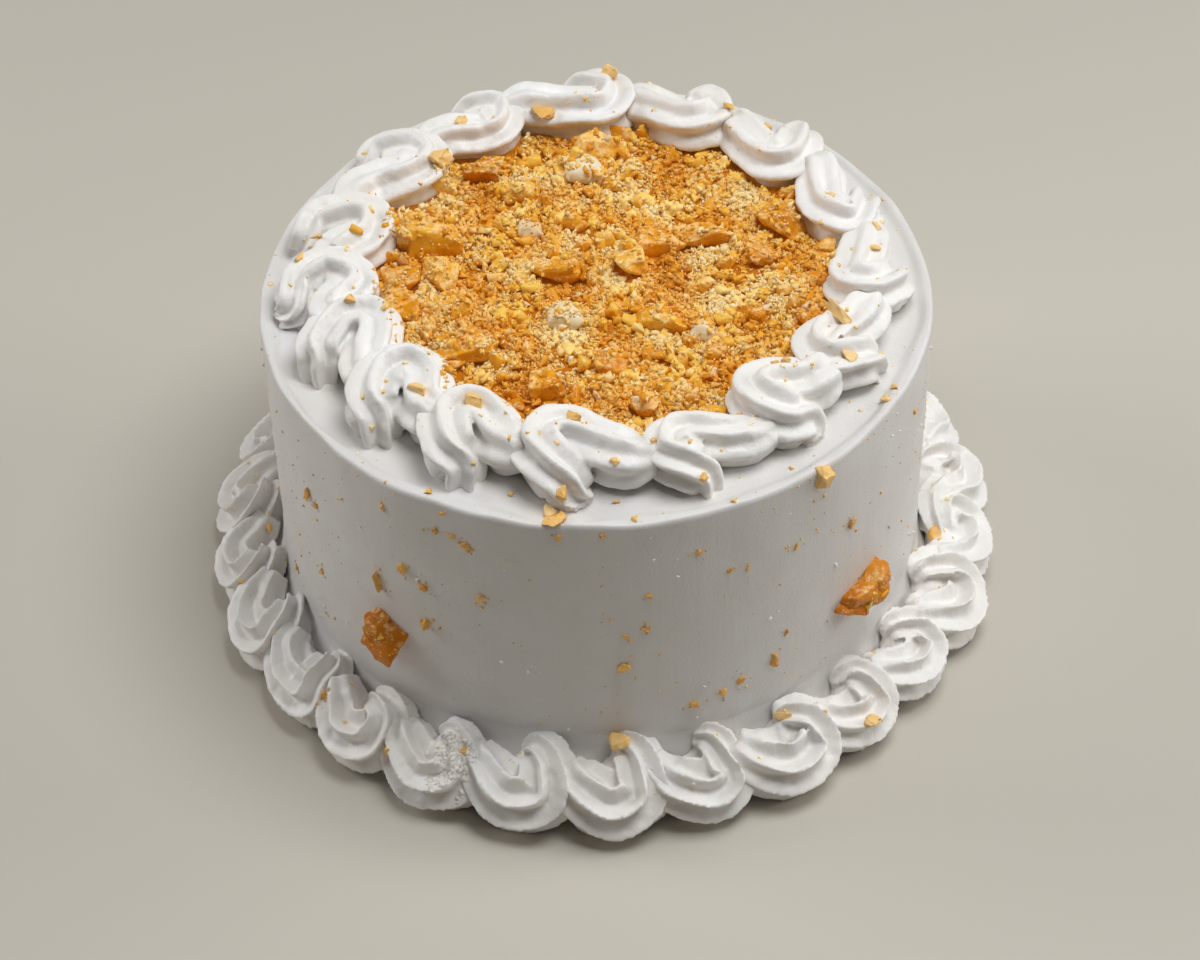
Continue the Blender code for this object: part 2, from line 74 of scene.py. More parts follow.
# How the nozzle is held at the start of a shell and how much that differs, and how far it
# turns along the shell, in degrees
TOP_HOLD = (0.0, 180.0)
FOOT_HOLD = (8.0, 30.0)
TOP_TWIST = 55.0
FOOT_TWIST = 10.0
# The share of the groove that is left at the end of the tail
TAIL_GROOVE = 0.35
# In millimetres: how far a tail ends short of the next shell, and how much a path strays
# along the piping, across it and up
TAIL_SHORT_OF_NEXT = 7.0
PATH_WANDER = (0.45, 0.45, 0.35)
SHELL_STATIONS = 70
TOP_VOXEL = 0.0005
FOOT_VOXEL = 0.0006

# One shell of the top border, in millimetres: along the piping, across it, up, and radius
TOP_HEAD = (
    (3.8, -5.2, -2, 5.4), (2.8, -4.8, 3.2, 6.8), (-0.8, -3.4, 6.8, 7.7),
    (-4.6, 1.4, 8, 8.2), (-2.8, 6.2, 8.4, 8.1), (3, 6.6, 7.8, 7.8),
)
# Its tail: share of its length, across, up, and radius
TOP_TAIL = (
    (0.38, 3.4, 6.8, 7.8), (0.72, 1.6, 6.4, 7.3), (1, 2.4, 6.6, 3.8),
)
# One shell of the foot border: along it, down the slope, out of the slope, and radius. Each
# shell lies between the two forms, one coiled and one that comes straight down the side.
FOOT_COILED = (
    (2, -1, 3.6, 2.6), (0.6, -3.4, 4.4, 5), (-3.2, -3.6, 4.6, 7.2),
    (-4.2, 2.2, 4.8, 8.6), (1.8, 5.2, 5.2, 9),
)
FOOT_STRAIGHT = (
    (0.5, -7.6, -1, 3.2), (-2.4, -6, 1, 6.4), (-4.4, -1, 3.4, 8),
    (-3.2, 3.6, 4.8, 8.8), (1.8, 5.2, 5.2, 9.2),
)
FOOT_TAIL = (
    (0.45, 3.4, 4.6, 8.5), (0.8, -0.8, 3.2, 7), (1, -4, 1.9, 5),
)

# The border along the top edge: azimuth, distance from the axis in millimetres, size, and
# how far the shell is drawn out across the border
TOP_SHELLS = (
    (261.5, 73, 1.04, 1.12), (287, 75, 0.9, 1.05), (310.5, 72.8, 1.04, 1), (331.5, 73.8, 1, 1),
    (355, 75.5, 0.96, 1), (18.5, 74.5, 0.96, 1), (43, 74.5, 1, 1), (65.5, 75.5, 1, 1),
    (89.5, 76, 1.06, 1.05), (115, 75.5, 0.94, 1.1), (137.5, 74.5, 1.02, 1.25), (163.5, 73.5, 1, 1.45),
    (182.5, 74.5, 0.96, 1.5), (200, 72.5, 0.98, 1.45), (221, 72, 1.04, 1.3), (241, 73, 1.04, 1.2),
)

# The border round the foot
FOOT_SHELLS = 26
FOOT_FIRST_AZIMUTH = 258.0
FOOT_SIZE = 1.13
FOOT_SLOPE = radians(54.0)
FOOT_CENTRE_OUT = 0.0047
FOOT_CENTRE_UP = 0.0096

# The cream behind the foot shells: how high it rises, and how far out it reaches
FOOT_BED_RISE = 0.0270
FOOT_BED_REACH = 0.0105

# The crunch, and how far from the axis its loose pieces are dropped
CRUNCH_DEPTH = 0.0040
CRUNCH_REACH = 0.0690
CRUNCH_SPREAD = 0.070
# How high above the bed a place is part of a larger piece or of a shell, and how far from
# the axis the shells begin
PIECE_RISE = 0.0014
SHELL_RISE = 0.0032
SHELLS_BEGIN = 0.060

# The largest pieces in it, in millimetres: x, y, length, width, height, and what it is
LARGE_PIECES = (
    (-3, 47, 10.5, 9, 7, "nut"), (-9, -16, 9.5, 7, 6, "nut"),
    (-18, 22, 6.5, 5.5, 5, "nut"), (3, 58, 13, 7.5, 6.5, "pale"),
    (28, -22, 6.5, 6, 4.5, "nut"), (-44, 18, 14, 11, 9, "amber"),
    (-51.5, 19, 5, 12, 8, "pale"), (-53, 3, 9.5, 9, 8, "amber"),
    (-53, -9, 9.5, 9.5, 8, "amber"), (-42, 2, 9, 8, 6.5, "pale"),
    (-35, -27, 14, 10, 7, "amber"), (-11, 4, 13, 7, 6, "amber"),
    (18, 15, 13, 8, 7, "amber"), (31, 15, 12, 7.5, 6.5, "amber"),
    (10, 6, 7, 12, 7, "pale"), (17, -18, 13, 6, 6, "amber"),
    (4, -34, 9, 7.5, 5.5, "amber"), (52, 21, 11, 10.5, 7.5, "amber"),
    (46, 9, 7.5, 6.5, 5.5, "amber"), (-13, -42, 8, 10, 6, "amber"),
    (-20, 38, 9, 9.5, 7, "amber"), (-31, 47, 10, 7, 6, "amber"),
    (12, -51, 6.5, 6, 5, "amber"), (-42, 43, 9, 7, 7, "pale"),
)
# The loose pieces, in layers: name, shape, how many are tried, smallest and largest size in
# millimetres, thickness, finish, seed, how deep they sink, the chance that one stays on a
# larger piece and on a shell, how they lie in patches, and the least of their tones
LOOSE_LAYERS = (
    (("broken_butterscotch", "pieces", 300, (3.4, 8), 0.8, "amber", 31, 0.2, 0.15, 0, None),),
    (("yellow_pieces", "pieces", 900, (2.8, 6), 0.8, "grain", 35, 0.3, 0.08, 0, None, 0.1),
     ("nut_bits", "pieces", 90, (2.2, 4.6), 0.75, "nut", 32, 0.2, 0.2, 0, None)),
    (("amber_grains", "grains", 7000, (1.7, 3.6), 0.9, "grain", 33, 0.4, 0.15, 0.004,
      (80, 1.4, -0.45)),),
    (("sugar_crumbs", "crumbs", 26000, (1.4, 3.3), 0.95, "crumb", 34, 0.4, 0.12, 0.003,
      (60, 2.2, 0.05)),),
    (("fine_crumbs", "crumbs", 20000, (0.9, 1.5), 0.95, "crumb", 36, 0.3, 0.4, 0.006,
      (70, 1.2, -0.15)),),
)

# Praline on the side: azimuth, height, length along the side, height of the piece and how
# far it stands out, in millimetres
SIDE_CHUNKS = {
    "praline_chunk_left": (230.8, 43, 12.5, 13.5, 8.5),
    "praline_chunk_right": (319.4, 42, 16.5, 9.5, 8),
}
# The lumps that each is made of: along, up, and size, as shares of the whole
CHUNK_LUMPS = {
    "praline_chunk_left": ((0.12, -0.08, 0.82), (-0.07, 0.2, 0.64), (-0.28, -0.3, 0.48)),
    "praline_chunk_right": ((0, 0, 0.98), (0.27, 0.26, 0.66), (-0.27, -0.26, 0.7),
                            (0.08, -0.16, 0.56)),
}
# Smaller bits on the side, measured the same way
SIDE_BITS = (
    (308, 97, 5.5, 7.5, 4), (229.8, 61, 4, 7, 2.6), (235.1, 70.4, 3.2, 4.2, 2),
    (239, 53, 3.6, 4.4, 2.4), (211.3, 71.1, 2.8, 5, 2), (273.1, 47.7, 3.4, 3.8, 2.2),
    (299.6, 36.2, 3.2, 4.8, 2.2), (316.4, 71.1, 3, 3.4, 1.8), (213.6, 70.2, 2, 2.4, 1),
    (232.2, 90.9, 1.3, 1.4, 0.8), (200.2, 27.3, 1.7, 1.8, 1), (213.2, 44.7, 1.9, 3, 1.2),
    (239.2, 66.3, 3, 2.4, 1.4), (249.9, 69.1, 2.3, 3.4, 1.6), (242.3, 89.5, 2, 1.7, 1),
    (245.4, 89.6, 1.8, 1.7, 1), (247.6, 87.8, 2.6, 2.4, 1.4), (243.5, 96.7, 1.5, 1.2, 0.8),
    (263.1, 96.2, 2, 2, 1.2), (222.1, 15.4, 2.2, 3.6, 1.6), (236.5, 14.3, 2.8, 3.2, 1.8),
    (270.1, 96.8, 1, 1, 0.6), (285.9, 86.8, 2, 2, 1), (303.5, 76.3, 1.5, 2.4, 1),
    (276.8, 61.9, 2, 2.4, 1.2), (273.8, 59.1, 1.3, 1.4, 0.8), (277.3, 73.9, 2.4, 1.6, 0.9),
    (290, 31.2, 3.2, 2.6, 1.4), (293.4, 33.2, 3, 2.4, 1.4), (284.9, 29, 2.6, 2.8, 1.4),
    (302.3, 45, 1.3, 1.8, 0.8), (291.3, 76.9, 1.3, 1.5, 0.8), (294.2, 75.8, 1.3, 2, 0.8),
    (338, 84, 1.6, 1.6, 1), (20, 60, 3, 4, 2), (62, 44, 2.6, 3.6, 2),
    (97, 66, 3.4, 3, 2), (121, 38, 2.4, 3, 1.6), (150, 71, 3, 4.4, 2.2),
    (178, 50, 2.6, 3, 1.8),
)
# Bits on the rim and the shells: distance from the axis, azimuth, length, width and height
SHELL_BITS = (
    (69, 336.4, 8, 6.5, 4), (77.3, 328, 5, 4, 3), (66.4, 317.5, 4.5, 4, 3),
    (65.9, 264.5, 4.5, 4, 3), (65.9, 241.6, 6, 4.5, 3.5), (70.2, 228, 5, 4.5, 3),
    (68.7, 101.5, 7.5, 6, 4.5), (78, 86.3, 5.5, 5, 5), (90.4, 262.1, 8.4, 6.2, 2),
    (85.6, 261.4, 4.4, 3.4, 2.8), (84.6, 263.4, 3.4, 3.6, 3), (87.2, 262.8, 3.8, 3.2, 2.4),
    (77.8, 273, 3, 2.6, 1.4), (81.8, 272.7, 2, 2, 1.2), (89, 240.4, 3, 2.2, 1),
    (89.4, 275.4, 2, 1.8, 1.2), (89.6, 292.2, 2, 1.7, 1), (85, 288, 3.2, 3, 1.8),
    (71.6, 281.7, 2.6, 2.4, 1.6), (65.7, 314.8, 2.6, 2.2, 1.6), (61.2, 133.7, 7, 6, 4.4),
    (72.4, 120.7, 4, 3.4, 2.4), (67.7, 195.4, 3.4, 3, 2), (69.9, 20.5, 3.2, 2.6, 2),
    (75.8, 49.3, 3.6, 3, 2), (70, 301, 2.6, 2.4, 1.8), (88.9, 328.4, 3.4, 2.6, 1.4),
    (88.6, 331.7, 2.8, 2.2, 1.2), (76, 2, 4.2, 3, 1.8), (78, 8.5, 3, 3.4, 1.6),
    (83, 14, 3.4, 2.2, 1.4), (74, 58, 4.2, 3.2, 2.2), (80, 178, 3.4, 2.6, 1.6),
    (76.5, 171, 4, 3, 1.8), (101.2, 247.8, 2.4, 3.4, 2), (97.2, 299.6, 4.4, 4, 3),
    (94.8, 272.3, 6.6, 6, 4), (111, 310.9, 5, 5, 2.6), (97.5, 352, 6, 6.4, 4),
    (96.7, 183.1, 2.8, 2.4, 1.6), (103, 22, 3.4, 3, 2), (98, 84, 3.8, 3, 2.2),
    (105, 133, 3.2, 3, 1.8),
)
# Degrees round the side for each millimetre along it
DEGREES_PER_MM = 1.0 / (radians(1.0) * CAKE_RADIUS / MM)
# How many are tried: pinheads on the side, specks on the rim and the shells, beads of cream
# on the side, and crumbs on the rubbed spot
PINHEADS = 1000
SPECKS = 750
CREAM_BEADS = 700
RUBBED_CRUMBS = 420
# Where the foot border is rubbed rough: azimuths and distances from the axis it lies between
RUBBED = (243.6, 248.8, 100.0, 109.5)

# The view: place, tilt, roll, and the lens in millimetres
VIEW_PLACE = (0.0, -0.64775, 0.65741)
VIEW_TILT = radians(45.812)
VIEW_ROLL = radians(-1.417)
VIEW_LENS = 93.87
# The lamps: place, power in watts, and colour. All are as wide and look at the same place.
LAMPS = {
    "key": ((0.26, -0.04, 1.0), 7.0, (0.965, 0.99, 1.0)),
    "right_fill": ((1.1, 0.18, 0.5), 4.7, (1.0, 1.0, 1.0)),
    "left_fill": ((-1.0, 0.27, 0.6), 5.0, (1.0, 1.0, 1.0)),
}
LAMP_WIDTH = 0.6
LAMP_AIM = Vector((0.0, 0.0, 0.05))
ROOM_COLOUR = (1.0, 0.965, 0.92, 1.0)
ROOM_STRENGTH = 0.105
FLOOR_COLOUR = (0.56, 0.52, 0.45)


class Wire:
    """A value that varies over a surface, for use in plain arithmetic."""

    def __init__(self, finish, socket):
        self.finish = finish
        self.socket = socket

    def with_other(self, operation, other, swapped=False):
        pair = (other, self) if swapped else (self, other)
        return self.finish.node("ShaderNodeMath", {"operation": operation}, {0: pair[0], 1: pair[1]})

    __add__ = partialmethod(with_other, "ADD")
    __radd__ = partialmethod(with_other, "ADD", swapped=True)
    __sub__ = partialmethod(with_other, "SUBTRACT")
    __rsub__ = partialmethod(with_other, "SUBTRACT", swapped=True)
    __mul__ = partialmethod(with_other, "MULTIPLY")
    __rmul__ = partialmethod(with_other, "MULTIPLY", swapped=True)


class Finish:
    """One surface finish: its material, and the nodes that vary it."""

    def __init__(self, name, colour, roughness):
        self.material = bpy.data.materials.new(name)
        self.material.use_nodes = True
        self.tree = self.material.node_tree
        self.shader = self.tree.nodes["Principled BSDF"]
        self.fixed({"Base Color": (*colour, 1.0), "Roughness": roughness})

    def fixed(self, values):
        for socket, value in values.items():
            self.shader.inputs[socket].default_value = value

    def vary(self, socket, wire):
        self.tree.links.new(wire.socket, self.shader.inputs[socket])

    def node(self, kind, settings=None, sockets=None, output=0):
        node = self.tree.nodes.new(kind)
        for name, value in (settings or {}).items():
            if name == "stops":
                ramp = node.color_ramp
                while len(ramp.elements) < len(value):
                    ramp.elements.new(0.5)
                for element, (position, colour) in zip(ramp.elements, value):
                    element.position = position
                    element.color = (*colour, 1.0)
            else:
                setattr(node, name, value)
        for name, value in (sockets or {}).items():
            if isinstance(value, Wire):
                self.tree.links.new(value.socket, node.inputs[name])
            else:
                node.inputs[name].default_value = value
        return Wire(self, node.outputs[output])

    def noise(self, scale, detail, stretch=(1.0, 1.0, 1.0)):
        spot = self.node("ShaderNodeTexCoord", output="Object")
        place = self.node("ShaderNodeMapping", {}, {"Vector": spot, "Scale": stretch})
        return self.node("ShaderNodeTexNoise", {}, {
            "Vector": place, "Scale": scale, "Detail": detail}, "Fac")

    def tone(self):
        return self.node("ShaderNodeAttribute", {"attribute_name": "tone"}, output="Fac")

    def ramp(self, wire, stops):
        return self.node("ShaderNodeValToRGB", {"stops": stops}, {"Fac": wire}, "Color")

    def blend(self, factor, first, second):
        return self.node("ShaderNodeMix", {"data_type": "RGBA"}, {0: factor, 6: first, 7: second}, 2)

    def relief(self, wire, depth):
        bump = self.node("ShaderNodeBump", {}, {"Height": wire, "Distance": depth}, "Normal")
        self.vary("Normal", bump)


# Whipped cream as it is smoothed on, and as it is piped, each with the warmer tone in it. The
# smoothed cream is the same cream made darker, which paints shade on the coat.
SMOOTHED_CREAM_WITH_PAINTED_SHADE = ((0.765, 0.75, 0.742), (0.735, 0.708, 0.68))
PIPED_CREAM = ((0.86, 0.845, 0.83), (0.85, 0.815, 0.775))
# Sugar dust, and light that has passed through butterscotch
CRUMB_PALE = (0.96, 0.68, 0.3)
AMBER_LIGHT = (0.95, 0.5, 0.07)


def cream_finish(name, tones, streaked):
    """Whipped cream: near white, a little warm, satin, with pinholes and spatula streaks."""
    plain, warm = tones
    cream = Finish(name, plain, 0.42)
    cream.fixed({"Subsurface Weight": 0.12, "Subsurface Radius": (1.0, 0.8, 0.6),
                 "Subsurface Scale": 0.0015})
    cloudy = cream.noise(38.0, 3.0)
    cream.vary("Base Color", cream.ramp(cloudy, ((0.3, plain), (0.55, warm), (0.75, plain))))
    cream.vary("Roughness", 0.34 + 0.16 * cream.noise(300.0, 3.0))
    grain = cream.noise(1400.0, 3.0)
    if streaked:
        streaks = cream.noise(300.0, 4.0, (1.0, 1.0, 0.07))
        smears = cream.noise(70.0, 3.0, (1.0, 1.0, 0.25))
        cream.relief(0.2 * grain + 0.18 * streaks + 0.9 * smears, 0.00045)
    else:
        cream.relief(grain, 0.00012)
    return cream.material


def toned_finish(name, tones, roughness, places=(0.0, 0.5, 1.0), *, glow, glow_share=0.6,
                 grain_scale=900.0, grain_depth=0.0002, sheen=0.5):
    """Small pieces that each have a tone of their own, held in their mesh. A little glow paints in
    light: on the sugar it stands for the light that passes through it, and on the nut and the
    cream it lifts their shade."""
    made = Finish(name, tones[0], roughness)
    made.fixed({"Specular IOR Level": sheen, "Emission Strength": glow})
    mottle = made.noise(420.0, 3.0)
    colour = made.ramp(0.8 * made.tone() + 0.4 * (mottle - 0.25), tuple(zip(places, tones)))
    made.vary("Base Color", colour)
    # Painted light: the glow, in the piece's colour mixed with amber, brightens its shaded sides
    made.vary("Emission Color", made.blend(glow_share, colour, (*AMBER_LIGHT, 1.0)))
    made.vary("Roughness", roughness - 0.1 + 0.3 * made.noise(700.0, 2.0))
    made.relief(made.noise(grain_scale, 3.0), grain_depth)
    return made.material


def dusted_finish(name, tones, dust, glow):
    """Glassy broken caramel, with sugar dust clinging to it, most on what looks up. Its glow is
    painted light, for the light that passes through the caramel.
    """
    made = Finish(name, tones[0], 0.25)
    made.fixed({"Specular IOR Level": 0.35, "Emission Strength": glow, "Subsurface Weight": 0.3,
                "Subsurface Radius": (1.0, 0.6, 0.25), "Subsurface Scale": 0.0014})
    clouds = made.noise(160.0, 4.0)
    body = made.ramp(0.55 * made.tone() + 0.75 * (clouds - 0.25),
                     tuple(zip((0.1, 0.5, 0.9), tones)))
    normal = made.node("ShaderNodeNewGeometry", output="Normal")
    upward = made.node("ShaderNodeSeparateXYZ", {}, {0: normal}, "Z")
    patches = made.noise(260.0, 3.0)
    specks = made.noise(800.0, 3.0)
    settled = made.node("ShaderNodeMapRange", {}, {
        0: 0.25 * upward + 1.6 * patches + 1.2 * specks, 1: 1.72 - 0.25 * dust,
        2: 2.05 - 0.25 * dust}, 0)
    made.vary("Base Color", made.blend(0.75 * settled, body, (*CRUMB_PALE, 1.0)))
    # Painted light: the caramel glows in its own colour, which lifts its shade
    made.vary("Emission Color", body)
    made.vary("Roughness", 0.2 + 0.4 * settled + 0.1 * clouds)
    made.relief(0.5 * settled + made.noise(330.0, 3.0), 0.0005)
    return made.material


def in_scene(name, data):
    made = bpy.data.objects.new(name, data)
    bpy.context.scene.collection.objects.link(made)
    return made


def piece_of(mesh, material, slot=None, smooth=True):
    """Makes a mesh a piece of the cake, or of what it stands on where it has no slot."""
    mesh.materials.append(material)
    if smooth:
        mesh.shade_smooth()
    piece = in_scene(mesh.name, mesh)
    if slot:
        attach(piece, "root")
    return piece


def finished(name, bm, material, slot=None):
    """Closes a bmesh into a piece."""
    mesh = bpy.data.meshes.new(name)
    bm.to_mesh(mesh)
    bm.free()
    return piece_of(mesh, material, slot)


def apply_modifiers(piece):
    """Makes the modified shape the mesh itself."""
    material = piece.data.materials[0]
    graph = bpy.context.evaluated_depsgraph_get()
    mesh = bpy.data.meshes.new_from_object(piece.evaluated_get(graph))
    piece.modifiers.clear()
    piece.data = mesh
    mesh.materials.clear()
    mesh.materials.append(material)
    mesh.shade_smooth()


def cloud_texture(name, size, depth=1):
    texture = bpy.data.textures.new(name, "CLOUDS")
    texture.noise_scale = size
    texture.noise_depth = depth
    return texture


def roughened(piece, texture, strength):
    push = piece.modifiers.new("roughen", "DISPLACE")
    push.texture = texture
    push.strength = strength


def outwards(azimuth):
    """The level direction away from the cake's axis."""
    return Vector((cos(azimuth), sin(azimuth), 0.0))


def frame_of(x_axis, y_axis, z_axis, place):
    made = Matrix.Identity(4)
    for column, vector in enumerate((x_axis, y_axis, z_axis, place)):
        for row in range(3):
            made[row][column] = vector[row]
    return made


def smooth_point(points, position):
    """A point on the Catmull-Rom curve through the points; position runs from 0 to 1."""
    spans = len(points) - 1
    span = min(int(position * spans), spans - 1)
    t = position * spans - span
    before = points[max(span - 1, 0)]
    after = points[min(span + 2, spans)]
    return [
        0.5 * (2.0 * b + (c - a) * t + (2.0 * a - 5.0 * b + 4.0 * c - d) * t ** 2
               + (3.0 * b - a - 3.0 * c + d) * t ** 3)
        for a, b, c, d in zip(before, points[span], points[span + 1], after)
    ]


def shell_path(head, tail, size, spacing, draw):
    """Places and radii along one shell, in millimetres, a little different each time."""
    points = [[value * size for value in point] for point in head]
    tail_start = points[-1][0]
    tail_length = spacing - TAIL_SHORT_OF_NEXT * size - tail_start
    for share, across, up, radius in tail:
        points.append([tail_start + share * tail_length, across * size, up * size, radius * size])
    for point in points:
        for axis, spread in enumerate(PATH_WANDER):
            point[axis] += draw.gauss(0.0, spread)
    return points


def station_frame(points, position, turn):
    """Where the nozzle's mouth was, and how it was turned, at one place along the path."""
    along, across, up, radius = smooth_point(points, position)
    middle = min(max(position, 0.02), 0.98)
    ahead = Vector(smooth_point(points, middle + 0.02)[:3])
    behind = Vector(smooth_point(points, middle - 0.02)[:3])
    forward = (ahead - behind).normalized()
    inward = Vector((forward.y, -forward.x, 0.0)).normalized()
    upward = inward.cross(forward).normalized()
    mouth = frame_of(inward, upward, -forward, Vector((along, across, up)) * MM)
    return mouth @ Matrix.Rotation(turn, 4, "Z") @ Matrix.Scale(radius * MM, 4)


def star_place(angle, ridges, depth, narrowness):
    """A place on the star nozzle's mouth, about 1 from its middle."""
    groove = 0.5 - 0.5 * cos(ridges * angle)
    return Vector((cos(angle), sin(angle), 0.0)) * (1.0 - depth * groove ** narrowness)


def squeeze_out(bm, points, phase, twist, star):
    """Pulls the nozzle's star along the path, as the cream leaves it."""
    ridges, depth, narrowness = star
    made = bmesh.ops.create_circle(bm, segments=RING_POINTS, radius=1.0, cap_ends=True)["verts"]
    angles = {vertex: atan2(vertex.co.y, vertex.co.x) for vertex in made}
    for station in range(SHELL_STATIONS):
        position = station / (SHELL_STATIONS - 1)
        if station:
            ring = [edge for edge in bm.edges if edge.verts[0] in angles and edge.verts[1] in angles]
            pulled = bmesh.ops.extrude_edge_only(bm, edges=ring)["geom"]
            fresh = {item for item in pulled if isinstance(item, bmesh.types.BMVert)}
            angles = {edge.other_vert(vertex): angle for vertex, angle in angles.items()
                      for edge in vertex.link_edges if edge.other_vert(vertex) in fresh}
        mouth = station_frame(points, position, phase + twist * position)
        fade = min(1.0, max(0.0, (position - 0.6) / 0.35))
        here = depth * (1.0 - (1.0 - TAIL_GROOVE) * fade)
        for vertex, angle in angles.items():
            vertex.co = mouth @ star_place(angle, ridges, here, narrowness)
    end = [edge for edge in bm.edges if edge.is_boundary]
    bmesh.ops.contextual_create(bm, geom=end)


def slice_off(piece, point, outward):
    """Cuts a piece flat and closes the cut."""
    bm = bmesh.new()
    bm.from_mesh(piece.data)
    geometry = bm.verts[:] + bm.edges[:] + bm.faces[:]
    bmesh.ops.bisect_plane(bm, geom=geometry, dist=1e-6, plane_co=point, plane_no=outward,
                           clear_outer=True)
    bmesh.ops.holes_fill(bm, edges=[edge for edge in bm.edges if edge.is_boundary], sides=0)
    bm.to_mesh(piece.data)
    bm.free()
    piece.data.shade_smooth()


def upright_frame(azimuth, distance, height):
    """Top border: x runs anticlockwise along it, y inwards, z up."""
    outward = outwards(azimuth)
    along = Vector((-sin(azimuth), cos(azimuth), 0.0))
    return frame_of(along, -outward, UP, outward * distance + UP * height)


def leaning_frame(azimuth):
    """Foot border: x runs clockwise along it, y down the slope, z out of the slope."""
    outward = outwards(azimuth)
    along = Vector((sin(azimuth), -cos(azimuth), 0.0))
    down_slope = outward * cos(FOOT_SLOPE) - UP * sin(FOOT_SLOPE)
    off_slope = outward * sin(FOOT_SLOPE) + UP * cos(FOOT_SLOPE)
    place = outward * (CAKE_RADIUS + FOOT_CENTRE_OUT) + UP * FOOT_CENTRE_UP
    return frame_of(along, down_slope, off_slope, place)


class Piper:
    """Pipes shells of whipped cream."""

    def __init__(self):
        self.cream = cream_finish("piped_cream", PIPED_CREAM, False)
        self.waves = cloud_texture("shell_waves", 0.006)
        self.pits = cloud_texture("shell_pits", 0.0016, 2)

    def shell(self, name, form, size, spacing, seed, place):
        head, tail, star, hold, twist, voxel = form
        draw = random.Random(seed)
        phase = radians(hold[0] + hold[1] * draw.uniform(-1.0, 1.0))
        points = shell_path(head, tail, size, spacing, draw)
        bm = bmesh.new()
        ridges, depth, narrowness = star
        cut = (ridges, depth * draw.uniform(0.9, 1.12), narrowness)
        squeeze_out(bm, points, phase, radians(twist) * draw.uniform(0.7, 1.2), cut)
        middle = (Vector(points[1][:3]) + Vector(points[len(head) - 1][:3])) / 2.0
        middle.z -= 2.2
        bmesh.ops.create_icosphere(bm, subdivisions=3, radius=5.0 * size * MM,
                                   matrix=Matrix.Translation(middle * MM))
        bm.transform(place)
        bmesh.ops.recalc_face_normals(bm, faces=bm.faces[:])
        shell = finished(name, bm, self.cream, "piped_cream")
        remesh = shell.modifiers.new("remesh", "REMESH")
        remesh.mode = "VOXEL"
        remesh.voxel_size = voxel
        smooth = shell.modifiers.new("smooth", "SMOOTH")
        smooth.iterations = 2
        roughened(shell, self.waves, 0.0009)
        roughened(shell, self.pits, 0.0002)
        apply_modifiers(shell)
        return shell


def pipe_top_border(piper):
    shells = []
    for index, (azimuth, distance, size, broad) in enumerate(TOP_SHELLS):
        next_azimuth = TOP_SHELLS[(index + 1) % len(TOP_SHELLS)][0]
        spacing = radians((next_azimuth - azimuth) % 360.0) * distance
        place = upright_frame(radians(azimuth), distance * MM, TOP_LEVEL)
        node = f"top_shell_{index + 1:02d}"
        head = [(x, y * broad, z, radius) for x, y, z, radius in TOP_HEAD]
        tail = [(share, y * broad, z, radius) for share, y, z, radius in TOP_TAIL]
        form = (head, tail, TOP_STAR, TOP_HOLD, TOP_TWIST, TOP_VOXEL)
        shell = piper.shell(f"piped_{node}", form, size, spacing, 300 + index, place)
        slice_off(shell, (0.0, 0.0, TOP_LEVEL - SINK), -UP)
        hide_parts(node)
        shells.append(shell)
    return shells


def pipe_foot_border(piper):
    step = tau / FOOT_SHELLS
    spacing = step * (CAKE_RADIUS + FOOT_CENTRE_OUT) / MM
    shells = []
    for index in range(FOOT_SHELLS):
        azimuth = radians(FOOT_FIRST_AZIMUTH) - index * step
        size = FOOT_SIZE * random.Random(500 + index).uniform(0.92, 1.06)
        node = f"foot_shell_{index + 1:02d}"
        share = random.Random(540 + index).random()
        head = [[(1.0 - share) * a + share * b for a, b in zip(coiled, straight)]
                for coiled, straight in zip(FOOT_COILED, FOOT_STRAIGHT)]
        form = (head, FOOT_TAIL, FOOT_STAR, FOOT_HOLD, FOOT_TWIST, FOOT_VOXEL)
        shell = piper.shell(f"piped_{node}", form, size, spacing, 400 + index,
                            leaning_frame(azimuth))
        outward = outwards(azimuth)
        slice_off(shell, outward * (CAKE_RADIUS - 3.0 * SINK), -outward)
        slice_off(shell, (0.0, 0.0, 0.0), -UP)
        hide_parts(node)
        shells.append(shell)
    return shells


def ripple(place):
    """Hand-smoothed cream: the edge of the top wanders, and so does the low lip inside it."""
    outward = Vector((place.x, place.y, 0.0)).normalized()
    along = outward * 3.2
    from_edge = CAKE_RADIUS - place.xy.length
    edge_share = (place.z / CAKE_HEIGHT - 0.4) / 0.6
    if edge_share <= 0.0 or from_edge > 0.014:
        return place
    outer_share = min(1.0, max(0.0, 1.0 - from_edge / 0.012))
    wander = noise.noise(along) + 0.35 * noise.noise(along * 3.1 + Vector((2.0, 0.0, 0.0)))
    moved = place + outward * (EDGE_WAVE * edge_share * outer_share * wander)
    if place.z > SHOULDER:
        width = LIP_WIDTH * (1.1 + 0.9 * noise.noise(along * 1.3 + Vector((5.0, 3.0, 0.0))))
        crest = min(1.0, max(0.0, (width - from_edge) / (0.6 * width)))
        rise = 1.0 + 0.7 * noise.noise(along * 2.0 + Vector((0.0, 4.0, 0.0)))
        bowed = TOP_DIP * rise * (0.5 - 0.5 * cos(pi * crest))
        share = min(1.0, (place.z - SHOULDER) / (TOP_LEVEL - SHOULDER))
        moved.z += share * bowed + EDGE_WAVE * 0.5 * outer_share * noise.noise(
            along + Vector((7.0, 0.0, 0.0)))
    return moved


